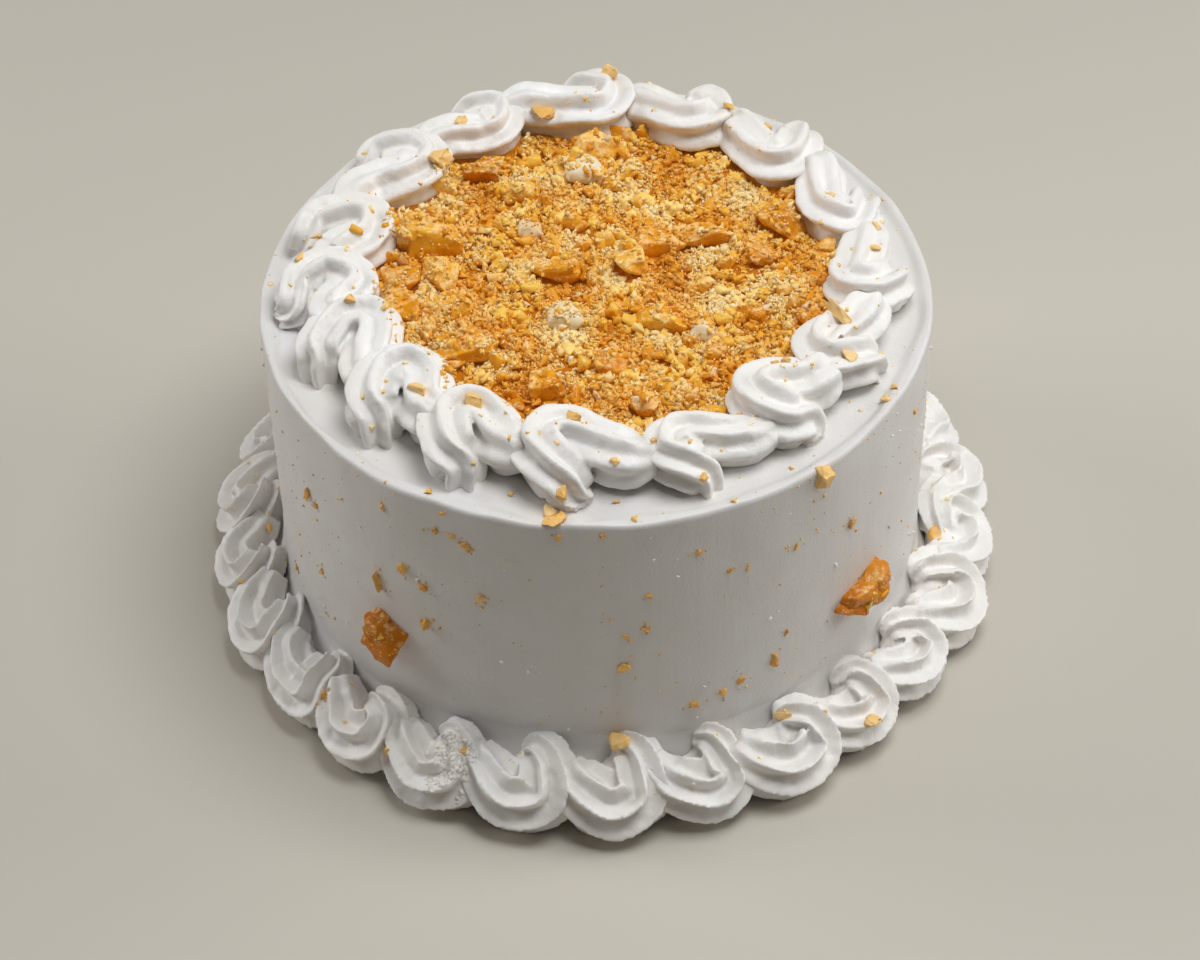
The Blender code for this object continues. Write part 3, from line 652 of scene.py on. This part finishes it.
def coat_profile():
    """Half of the cake's section, from the middle of its underside to the middle of its top."""
    corner = [(0.0, 0.0), (0.5 * CAKE_RADIUS, 0.0), (CAKE_RADIUS - FOOT_ROUND, 0.0),
              (CAKE_RADIUS, FOOT_ROUND)]
    shoulder = TOP_LEVEL - EDGE_ROUND
    side = [(CAKE_RADIUS, FOOT_ROUND + (shoulder - FOOT_ROUND) * step / 70.0)
            for step in range(1, 71)]
    rounded = []
    for step in range(1, 9):
        angle = 0.5 * pi * step / 8.0
        rounded.append((CAKE_RADIUS - EDGE_ROUND * (1.0 - cos(angle)),
                        TOP_LEVEL - EDGE_ROUND * (1.0 - sin(angle))))
    flat = [(CAKE_RADIUS - EDGE_ROUND - 0.0005 * step, TOP_LEVEL) for step in range(1, 30)]
    flat += [(CAKE_RADIUS - EDGE_ROUND - 0.0145 - 0.0012 * step, TOP_LEVEL) for step in range(1, 20)]
    return corner + side + rounded + flat + [(0.02, TOP_LEVEL), (0.0, TOP_LEVEL)]


def spun(profile, steps):
    """A bmesh turned round the z axis from (radius, height) corners, closed at the poles."""
    bm = bmesh.new()
    corners = [bm.verts.new((radius, 0.0, height)) for radius, height in profile]
    for start, end in zip(corners, corners[1:]):
        bm.edges.new((start, end))
    bmesh.ops.spin(bm, geom=bm.verts[:] + bm.edges[:], cent=(0.0, 0.0, 0.0),
                   axis=(0.0, 0.0, 1.0), angle=tau, steps=steps, use_merge=True)
    bmesh.ops.remove_doubles(bm, verts=bm.verts[:], dist=0.00001)
    bmesh.ops.recalc_face_normals(bm, faces=bm.faces[:])
    return bm


def coat_cake():
    """The cream coat, smoothed with a spatula."""
    bm = spun(coat_profile(), STEPS_ROUND)
    for vertex in bm.verts:
        vertex.co = ripple(vertex.co)
        if vertex.co.z > 0.002:
            spot = vertex.co
            smear = noise.noise(Vector((spot.x * 22.0, spot.y * 22.0, spot.z * 110.0)))
            dent = noise.noise(spot * 75.0 + Vector((3.0, 1.0, 8.0)))
            low = max(0.0, 1.0 - spot.z / (0.5 * CAKE_HEIGHT))
            vertex.co = spot + vertex.normal * ((0.0002 + 0.0005 * low) * smear + 0.00018 * dent)
    # The coat's cream is darker than the piped cream: painted shade
    finish = cream_finish("coat_cream", SMOOTHED_CREAM_WITH_PAINTED_SHADE, True)
    coat = finished("cream_coat", bm, finish, "cream_coat")
    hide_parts("cake_body")
    return coat


def broken_lump(draw, points, squareness):
    """A bmesh of one broken piece about 1 across: the hull of random points in a block."""
    bm = bmesh.new()
    for _ in range(points):
        spot = Vector([draw.uniform(-0.5, 0.5) for _ in range(3)])
        spot *= (1.0 - squareness) + squareness * 0.5 / max(abs(value) for value in spot)
        bm.verts.new(spot)
    made = bmesh.ops.convex_hull(bm, input=bm.verts[:])
    inside = dict.fromkeys(item for item in made["geom_interior"] + made["geom_unused"]
                           if isinstance(item, bmesh.types.BMVert))
    bmesh.ops.delete(bm, geom=list(inside), context="VERTS")
    bmesh.ops.recalc_face_normals(bm, faces=bm.faces[:])
    return bm


def chiselled(bm, rounding, rough, segments, cuts, shift):
    """Softens the edges of a large broken piece and crumples its faces a little."""
    bmesh.ops.dissolve_limit(bm, angle_limit=radians(12.0), verts=bm.verts[:], edges=bm.edges[:])
    bmesh.ops.bevel(bm, geom=bm.edges[:], offset=rounding, offset_type="OFFSET", affect="EDGES",
                    segments=segments, profile=0.5, material=-1, clamp_overlap=True)
    bmesh.ops.triangulate(bm, faces=bm.faces[:])
    for _ in range(cuts):
        long_edges = [edge for edge in bm.edges if edge.calc_length() > 0.09]
        bmesh.ops.subdivide_edges(bm, edges=long_edges, cuts=1, use_grid_fill=True)
        bmesh.ops.triangulate(bm, faces=bm.faces[:])
    bmesh.ops.remove_doubles(bm, verts=bm.verts[:], dist=0.004)
    bm.normal_update()
    moved = [vertex.co + vertex.normal * rough * (noise.noise(vertex.co * 4.0 + shift)
                                                  + 0.5 * noise.noise(vertex.co * 11.0 + shift))
             for vertex in bm.verts]
    for vertex, place in zip(bm.verts, moved):
        vertex.co = place
    return bm


def nut_half(shift):
    """A piece of cashew about 1 across: bent, with a dent along it, and broken at one end."""
    bm = bmesh.new()
    bmesh.ops.create_icosphere(bm, subdivisions=4, radius=0.5)
    for vertex in bm.verts:
        spot = vertex.co.copy()
        dent = 0.16 * max(0.0, 1.0 - (spot.y / 0.18) ** 2) * (spot.z > 0.0)
        lumpy = 0.22 * noise.noise(spot * 2.8 + shift) + 0.05 * noise.noise(spot * 9.0 + shift)
        vertex.co = spot * (1.0 - dent + lumpy)
        vertex.co.x = min(vertex.co.x, 0.34 + 0.05 * noise.noise(spot * 14.0 + shift))
        vertex.co.y += 0.9 * spot.x * spot.x - 0.1
    return bm


def mesh_arrays(bm):
    bmesh.ops.triangulate(bm, faces=bm.faces[:])
    bm.verts.index_update()
    places = np.array([vertex.co[:] for vertex in bm.verts])
    corners = np.array([[vertex.index for vertex in face.verts] for face in bm.faces])
    bm.free()
    return places, corners


def joined_copies(name, shapes, copies, material, slot, smooth=True):
    """One mesh of many small pieces. Each copy is a shape's number, its place and its tone."""
    placed = []
    count = 0
    for number, matrix, tone in copies:
        places, corners = shapes[number]
        places = places @ np.array(matrix.to_3x3()).T + np.array(matrix.translation)
        placed.append((places, corners + count, np.full(len(places), tone)))
        count += len(places)
    places, corners, tones = (np.concatenate(arrays) for arrays in zip(*placed))
    mesh = bpy.data.meshes.new(name)
    mesh.vertices.add(count)
    mesh.vertices.foreach_set("co", places.astype(np.float32).ravel())
    mesh.loops.add(corners.size)
    mesh.loops.foreach_set("vertex_index", corners.astype(np.int32).ravel())
    mesh.polygons.add(len(corners))
    mesh.polygons.foreach_set("loop_start", np.arange(0, corners.size, 3, dtype=np.int32))
    mesh.update(calc_edges=True)
    held = mesh.attributes.new("tone", "FLOAT", "POINT")
    held.data.foreach_set("value", tones.astype(np.float32))
    return piece_of(mesh, material, slot, smooth)


def resting_matrix(place, normal, spans, spin, tilt=(0.0, 0.0)):
    """Puts a unit shape on a surface, with its own z along the normal."""
    upright = normal.to_track_quat("Z", "Y").to_matrix().to_4x4()
    turned = Euler((tilt[0], tilt[1], spin)).to_matrix().to_4x4()
    return Matrix.Translation(place) @ upright @ turned @ Matrix.Diagonal((*spans, 1.0))


class Ground:
    """What crumbs can fall on."""

    def __init__(self, pieces):
        bm = bmesh.new()
        for piece in pieces:
            bm.from_mesh(piece.data)
        self.tree = BVHTree.FromBMesh(bm)
        bm.free()

    def below(self, azimuth, distance):
        start = Vector((distance * cos(azimuth), distance * sin(azimuth), FAR_OUT))
        place, normal, _, _ = self.tree.ray_cast(start, -UP)
        return place, normal

    def inwards(self, azimuth, height):
        outward = outwards(azimuth)
        start = outward * FAR_OUT + UP * height
        place, normal, _, _ = self.tree.ray_cast(start, -outward)
        return place, normal


def bed_height(x, y):
    """The height of the crunch under its loose crumbs."""
    spot = Vector((x, y, 0.0))
    broad = noise.noise(spot * 60.0)
    middle = noise.noise(spot * 210.0 + Vector((5.0, 2.0, 0.0)))
    fine = noise.noise(spot * 700.0 + Vector((1.0, 9.0, 0.0)))
    return TOP_LEVEL + CRUNCH_DEPTH - 0.0008 + 0.0009 * broad + 0.0006 * middle + 0.0003 * fine


def lay_crunch_bed():
    """The bed under the crumbs, which runs in under the shells. Its colour is butterscotch made
    deeper with painted shade, so that the gaps between the crumbs look shaded.
    """
    # Painted shade: the bed is darker than the crumbs above it, and glows a little as well
    material = toned_finish("crunch_bed", (
        (0.56, 0.17, 0.005), (0.72, 0.29, 0.018), (0.86, 0.46, 0.08)),
        0.6, glow=0.03, grain_depth=0.0012, sheen=0.1)
    base = TOP_LEVEL - SINK
    lid = TOP_LEVEL + CRUNCH_DEPTH
    rings = 110
    profile = [(0.0, base), (CRUNCH_REACH, base)]
    profile += [(CRUNCH_REACH * (1.0 - step / rings), lid) for step in range(rings + 1)]
    bm = spun(profile, STEPS_ROUND)
    for vertex in bm.verts:
        if vertex.co.z > lid - 0.0001:
            vertex.co.z = bed_height(vertex.co.x, vertex.co.y)
    bed = finished("crunch_bed", bm, material, "crunch")
    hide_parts("crunch_topping")
    return bed


def softened(draw, points, squareness, *softening):
    return mesh_arrays(chiselled(broken_lump(draw, points, squareness), *softening))


def crunch_shapes():
    """The seed shapes of the crunch, each about 1 across."""
    draw = random.Random(21)
    shapes = {
        "crumbs": [mesh_arrays(broken_lump(draw, 6, 0.3)) for _ in range(16)],
        "grains": [mesh_arrays(broken_lump(draw, 9, 0.45)) for _ in range(24)],
        "pieces": [softened(draw, 9, 0.55, 0.06, 0.03, 1, 0, Vector((index * 3.1, 0.0, 7.0)))
                   for index in range(24)],
        "bits": [softened(draw, 13, 0.5, 0.07, 0.09, 2, 2, Vector((index * 1.7, 8.0, 2.0)))
                 for index in range(12)],
    }
    shapes["bits and grains"] = shapes["bits"] + shapes["grains"]
    return shapes


def crunch_finishes():
    """Broken butterscotch, praline and nut, and crumbled cream."""
    return {
        # Each glow here is painted light: for light through the sugar, and lifted shade on the nut
        # and cream
        "crumb": toned_finish("sugar_crumbs", (
            (0.83, 0.43, 0.08), (0.87, 0.59, 0.21), (0.92, 0.77, 0.45)),
            0.7, glow=0.07, grain_depth=0.0001, sheen=0.1),
        "grain": toned_finish("amber_grains", (
            (0.68, 0.23, 0.006), (0.82, 0.39, 0.024), (0.9, 0.57, 0.09), (0.97, 0.77, 0.34)),
            0.4, (0.0, 0.4, 0.75, 1.0), glow=0.05, grain_depth=0.00012, sheen=0.35),
        "flake": toned_finish("flakes", (
            (0.67, 0.31, 0.05), (0.81, 0.47, 0.13), (0.92, 0.66, 0.31)),
            0.35, glow=0.04, grain_scale=500.0, grain_depth=0.0003),
        "amber": dusted_finish("amber_chunks", (
            (0.66, 0.22, 0.005), (0.8, 0.35, 0.014), (0.91, 0.52, 0.06)), 0.8, 0.04),
        # Painted light: the cashew glows a little, which lifts its grey shade
        "nut": toned_finish("cashew", (
            (0.74, 0.55, 0.31), (0.8, 0.68, 0.46), (0.84, 0.76, 0.58)),
            0.5, glow=0.05, glow_share=0.3, grain_scale=300.0),
        "praline": dusted_finish("praline", (
            (0.4, 0.1, 0.002), (0.62, 0.2, 0.005), (0.84, 0.42, 0.05)), 0.3, 0.06),
        "pale": dusted_finish("dusted_chunks", (
            (0.86, 0.36, 0.02), (0.92, 0.47, 0.05), (0.95, 0.62, 0.16)), 1.2, 0.04),
        # Painted light: the crumbled cream glows in its own colour, which brightens the shaded sides
        # of beads and crumbs
        "cream": toned_finish("crumbled_cream", (
            (0.74, 0.705, 0.65), (0.84, 0.815, 0.77)), 0.6, (0.0, 1.0), glow=0.09,
            glow_share=0.0, sheen=0.2),
    }


def large_pieces(finishes):
    """The largest pieces, one by one, each lying where the solid has it."""
    copies = {"amber": [], "pale": [], "nut": []}
    shapes = {kind: [] for kind in copies}
    for index, (x, y, length, width, height, kind) in enumerate(LARGE_PIECES):
        draw = random.Random(900 + index)
        shift = Vector((index * 2.3, 4.0, index * 0.7))
        if kind == "nut":
            shapes[kind].append(mesh_arrays(nut_half(shift)))
        else:
            shapes[kind].append(softened(draw, 15, 0.7, 0.06, 0.05, 2, 3, shift))
        place = Vector((x * MM, y * MM, bed_height(x * MM, y * MM) + 0.34 * height * MM))
        spans = [span * MM * 1.22 for span in (length, width, height)]
        turn = (draw.uniform(-0.35, 0.35), draw.uniform(-0.35, 0.35))
        matrix = resting_matrix(place, UP, spans, draw.uniform(-0.2, 0.2), turn)
        copies[kind].append((len(shapes[kind]) - 1, matrix, draw.random()))
    return [joined_copies(f"large_{kind}_pieces", shapes[kind], copies[kind],
                          finishes[kind], "crunch", kind == "nut") for kind in copies]


def scattered(ground, name, shapes, count, sizes, flatness, finish, seed, sink, on_pieces,
              on_shells, patches, least_tone=0.0):
    """Loose pieces of one kind, dropped on whatever lies below them."""
    draw = random.Random(seed)
    copies = []
    for _ in range(count):
        azimuth = draw.uniform(0.0, tau)
        distance = CRUNCH_SPREAD * draw.random() ** 0.5
        x = distance * cos(azimuth)
        y = distance * sin(azimuth)
        size = (sizes[0] + (sizes[1] - sizes[0]) * draw.random() ** 2.2) * MM
        spin = draw.uniform(0.0, tau)
        tilt = (draw.gauss(0.0, 0.5), draw.gauss(0.0, 0.5))
        drift = 0.5 + 1.4 * noise.noise(Vector((x, y, 0.0)) * 75.0) + draw.gauss(0.0, 0.2)
        tone = least_tone + (1.0 - least_tone) * min(1.0, max(0.0, drift))
        chance = draw.random()
        if patches is not None:
            scale, share, bare = patches
            cover = noise.noise(Vector((x, y, 0.0)) * scale + Vector((seed, 0.0, 0.0)))
            if cover * share + draw.gauss(0.0, 0.25) < bare:
                continue
        place, normal = ground.below(azimuth, distance)
        if place is None:
            continue
        raised = place.z - bed_height(x, y)
        if raised > SHELL_RISE and distance > SHELLS_BEGIN:
            if chance > on_shells:
                continue
        elif raised > PIECE_RISE and chance > on_pieces:
            continue
        lean = (normal + UP * 1.2).normalized()
        spans = (size, size * draw.uniform(0.65, 0.95), size * flatness * draw.uniform(0.8, 1.2))
        matrix = resting_matrix(place + lean * spans[2] * (0.5 - sink), lean, spans, spin, tilt)
        copies.append((draw.randrange(len(shapes)), matrix, tone))
    return joined_copies(name, shapes, copies, finish, "crunch")


def fill_the_top(finishes, shapes, shells):
    """The bed, the largest pieces, and the loose ones layer by layer."""
    floor = [lay_crunch_bed()] + shells + large_pieces(finishes)
    for layer in LOOSE_LAYERS:
        ground = Ground(floor)
        for name, shape, count, sizes, flatness, finish, *rest in layer:
            floor.append(scattered(ground, name, shapes[shape], count, sizes, flatness,
                                   finishes[finish], *rest))


def fill_the_foot(cream):
    """Cream that the foot shells are pressed into: it fills the corner up to the side."""
    inner = CAKE_RADIUS - 0.002
    outer = CAKE_RADIUS + FOOT_BED_REACH
    edge = 0.003
    profile = [(inner, 0.0), (outer, 0.0), (outer, edge)]
    for step in range(1, 25):
        share = step / 24.0
        out = (1.0 - share) ** 3.0 * FOOT_BED_REACH - 0.0002 * share
        profile.append((CAKE_RADIUS + out, edge + (FOOT_BED_RISE - edge) * share))
    profile += [(inner, FOOT_BED_RISE), (inner, 0.0)]
    bm = spun(profile, 300)
    bm.normal_update()
    for vertex in bm.verts:
        proud = (vertex.co.xy.length - CAKE_RADIUS) / 0.004
        if vertex.co.z > 0.001 and proud > 0.0:
            lumps = noise.noise(vertex.co * 110.0) + 0.4 * noise.noise(vertex.co * 320.0)
            vertex.co += vertex.normal * (0.0011 * lumps * min(1.0, proud))
    finished("foot_bed", bm, cream, "cream_coat")


def stuck_matrix(ground, azimuth, height, spans, spin, sink):
    """Puts a unit shape on the side of the cake: x along it, y up, z outwards. Gives nothing
    where there is nothing to stick it on."""
    place, normal = ground.inwards(radians(azimuth), height * MM)
    if place is None:
        return None
    lean = (outwards(radians(azimuth)) + 0.5 * normal).normalized()
    along = UP.cross(lean).normalized()
    spans = [span * MM for span in spans]
    centre = place + lean * (spans[2] * (0.5 - sink))
    turned = frame_of(along, lean.cross(along), lean, centre) @ Matrix.Rotation(spin, 4, "Z")
    return turned @ Matrix.Diagonal((*spans, 1.0))


def stick_clusters(finishes, shapes, ground):
    """The two big clusters of praline on the side, with crumbs in them."""
    bits = len(shapes["bits"])
    seeds = shapes["bits and grains"]
    for number, (node, (azimuth, height, length, rise, proud)) in enumerate(SIDE_CHUNKS.items()):
        draw = random.Random(40 + number)
        lumps = []
        copies = []
        for index, (along, up, share) in enumerate(CHUNK_LUMPS[node]):
            shift = Vector((number * 5.0, index * 2.0, 3.0))
            lumps.append(softened(draw, 18, 0.6, 0.06, 0.04, 2, 3, shift))
            spans = (length * share, rise * share, proud * (0.6 + 0.7 * share) * 0.95)
            spot = (azimuth + along * length * DEGREES_PER_MM, height + up * rise)
            matrix = stuck_matrix(ground, *spot, spans, draw.uniform(-0.4, 0.4), 0.25)
            copies.append((index, matrix, draw.uniform(0.0, 0.6)))
        cluster = joined_copies(f"glazed_{node}", lumps, copies, finishes["praline"], "praline")
        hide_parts(node)
        nuts = []
        on_cluster = Ground([cluster])
        for index in range(45):
            large = index < 3
            spot = (azimuth + draw.gauss(0.0, 0.22) * length * DEGREES_PER_MM,
                    height + draw.gauss(0.05, 0.22) * rise)
            size = draw.uniform(2.6, 4.6) if large else draw.uniform(0.4, 1.3)
            seed = draw.randrange(bits)
            if not large:
                seed = bits + draw.randrange(len(seeds) - bits)
            matrix = stuck_matrix(on_cluster, *spot, (size, size * 0.7, size * 0.5),
                                  draw.uniform(0.0, tau), 0.7 if large else 0.5)
            if matrix is not None:
                nuts.append((seed, matrix, draw.uniform(0.2, 0.9)))
        joined_copies(f"nuts_in_{node}", seeds, nuts, finishes["grain"], "praline")


def stick_bits(finishes, shapes, ground):
    """The smaller bits on the side, each with a few crumbs round it."""
    bits = len(shapes["bits"])
    seeds = shapes["bits and grains"]
    copies = []
    draw = random.Random(52)
    for azimuth, height, length, rise, proud in SIDE_BITS:
        tone = draw.uniform(0.0, 0.7)
        matrix = stuck_matrix(ground, azimuth, height, (length, rise, proud),
                              draw.uniform(-0.5, 0.5), 0.3)
        copies.append((draw.randrange(bits), matrix, tone))
        for _ in range(draw.randrange(4, 9)):
            spot = (azimuth + draw.gauss(0.0, 0.55) * length * DEGREES_PER_MM,
                    height + draw.gauss(0.0, 0.55) * rise)
            size = draw.uniform(0.4, 1.3)
            matrix = stuck_matrix(ground, *spot, (size, size * 0.8, size * 0.7),
                                  draw.uniform(0.0, tau), 0.35)
            seed = bits + draw.randrange(len(seeds) - bits)
            copies.append((seed, matrix, tone + draw.uniform(0.0, 0.3)))
    joined_copies("side_bits", seeds, copies, finishes["flake"], "praline")


def dust_the_cream(finishes, shapes, ground):
    """Specks of butterscotch that cling to the side, the rim and the shells, and beads of cream
    on the side."""
    draw = random.Random(61)
    grains = shapes["grains"]
    copies = []
    for _ in range(PINHEADS):
        azimuth = draw.uniform(0.0, 360.0)
        height = 22.0 + 77.0 * draw.random()
        size = 0.3 + 0.9 * draw.random() ** 5.0
        spin = draw.uniform(0.0, tau)
        matrix = stuck_matrix(ground, azimuth, height, (size, size * 0.8, size * 0.7), spin, 0.35)
        copies.append((draw.randrange(len(grains)), matrix, draw.uniform(0.2, 1.0)))
    joined_copies("pinheads", grains, copies, finishes["flake"], "praline")
    copies = []
    for _ in range(SPECKS):
        azimuth = draw.uniform(0.0, tau)
        distance = 0.060 + 0.047 * draw.random() ** 0.8
        place, normal = ground.below(azimuth, distance)
        size = (0.35 + 1.7 * draw.random() ** 4.0) * MM
        spin = draw.uniform(0.0, tau)
        tone = draw.uniform(0.4, 1.0)
        number = draw.randrange(len(grains))
        if place is not None:
            matrix = resting_matrix(place, normal, (size, size * 0.8, size * 0.6), spin)
            copies.append((number, matrix, tone))
    joined_copies("specks", grains, copies, finishes["crumb"], "praline")
    copies = []
    for _ in range(CREAM_BEADS):
        azimuth = draw.uniform(0.0, 360.0)
        height = 16.0 + 80.0 * draw.random()
        size = 0.4 + 1.0 * draw.random() ** 3.0
        gathered = noise.noise(Vector((azimuth * 0.05, height * 0.05, 4.0)))
        if gathered + draw.gauss(0.0, 0.2) > 0.0:
            matrix = stuck_matrix(ground, azimuth, height, (size, size * 0.9, size * 0.7), 0.0, 0.3)
            copies.append((draw.randrange(len(grains)), matrix, draw.uniform(0.6, 1.0)))
    joined_copies("cream_beads", grains, copies, finishes["cream"], "cream_coat")


def rub_the_foot(finishes, shapes, ground):
    """The rough spot on the foot border, where the cream has crumbled."""
    draw = random.Random(81)
    grains = shapes["grains"]
    first, last, near, far = RUBBED
    copies = []
    for _ in range(RUBBED_CRUMBS):
        azimuth = radians(draw.gauss(0.5 * (first + last), 0.28 * (last - first)))
        distance = MM * draw.gauss(0.5 * (near + far), 0.28 * (far - near))
        place, normal = ground.below(azimuth, distance)
        size = (0.8 + 1.9 * draw.random() ** 2.0) * MM
        spin = draw.uniform(0.0, tau)
        number = draw.randrange(len(grains))
        if place is not None and place.z > 0.001:
            matrix = resting_matrix(place, normal, (size, size * 0.8, size * 0.8), spin)
            copies.append((number, matrix, draw.random()))
    joined_copies("rubbed_cream", grains, copies, finishes["cream"], "piped_cream")


def drop_on_the_shells(finishes, shapes, ground):
    """The larger bits that lie on the piped cream."""
    draw = random.Random(71)
    bits = shapes["bits"]
    copies = []
    for distance, azimuth, length, width, height in SHELL_BITS:
        place, normal = ground.below(radians(azimuth), distance * MM)
        spans = [span * MM for span in (length, width, height)]
        lean = (normal + UP * 0.6).normalized()
        matrix = resting_matrix(place + lean * spans[2] * 0.3, lean, spans, draw.uniform(0.0, tau))
        copies.append((draw.randrange(len(bits)), matrix, draw.uniform(0.4, 1.0)))
    joined_copies("bits_on_shells", bits, copies, finishes["flake"], "praline")


def place_camera():
    """Looks down on the cake's front from a little over 0.9 m away."""
    view = bpy.data.cameras.new("view")
    view.lens = VIEW_LENS
    view.sensor_width = 36.0
    view.clip_start = 0.01
    camera = in_scene("view", view)
    turned = Matrix.Rotation(VIEW_TILT, 4, "X") @ Matrix.Rotation(VIEW_ROLL, 4, "Z")
    camera.matrix_world = Matrix.Translation(VIEW_PLACE) @ turned
    bpy.context.scene.camera = camera


def light_studio():
    """Soft lamps and an even room."""
    for name, (place, power, colour) in LAMPS.items():
        lamp = bpy.data.lights.new(name, "AREA")
        lamp.shape = "DISK"
        lamp.size = LAMP_WIDTH
        lamp.energy = power
        lamp.color = colour
        light = in_scene(name, lamp)
        light.location = place
        light.rotation_euler = (LAMP_AIM - Vector(place)).to_track_quat("-Z", "Y").to_euler()
    world = bpy.data.worlds.new("room")
    bpy.context.scene.world = world
    world.use_nodes = True
    backdrop = world.node_tree.nodes["Background"]
    backdrop.inputs["Color"].default_value = ROOM_COLOUR
    backdrop.inputs["Strength"].default_value = ROOM_STRENGTH


def lay_floor():
    bm = bmesh.new()
    bmesh.ops.create_grid(bm, x_segments=2, y_segments=2, size=1.6)
    bmesh.ops.translate(bm, verts=bm.verts[:], vec=(0.0, 0.0, -0.0001))
    finished("floor", bm, Finish("pale_floor", FLOOR_COLOUR, 0.7).material)


def main():
    bpy.context.scene.view_settings.view_transform = "Standard"
    place_camera()
    light_studio()
    lay_floor()
    coat = coat_cake()
    piper = Piper()
    top_shells = pipe_top_border(piper)
    foot_shells = pipe_foot_border(piper)
    fill_the_foot(coat.data.materials[0])
    finishes = crunch_finishes()
    shapes = crunch_shapes()
    fill_the_top(finishes, shapes, top_shells)
    ground = Ground([coat] + top_shells + foot_shells)
    for topping in (stick_clusters, stick_bits, drop_on_the_shells, dust_the_cream, rub_the_foot):
        topping(finishes, shapes, ground)


main()
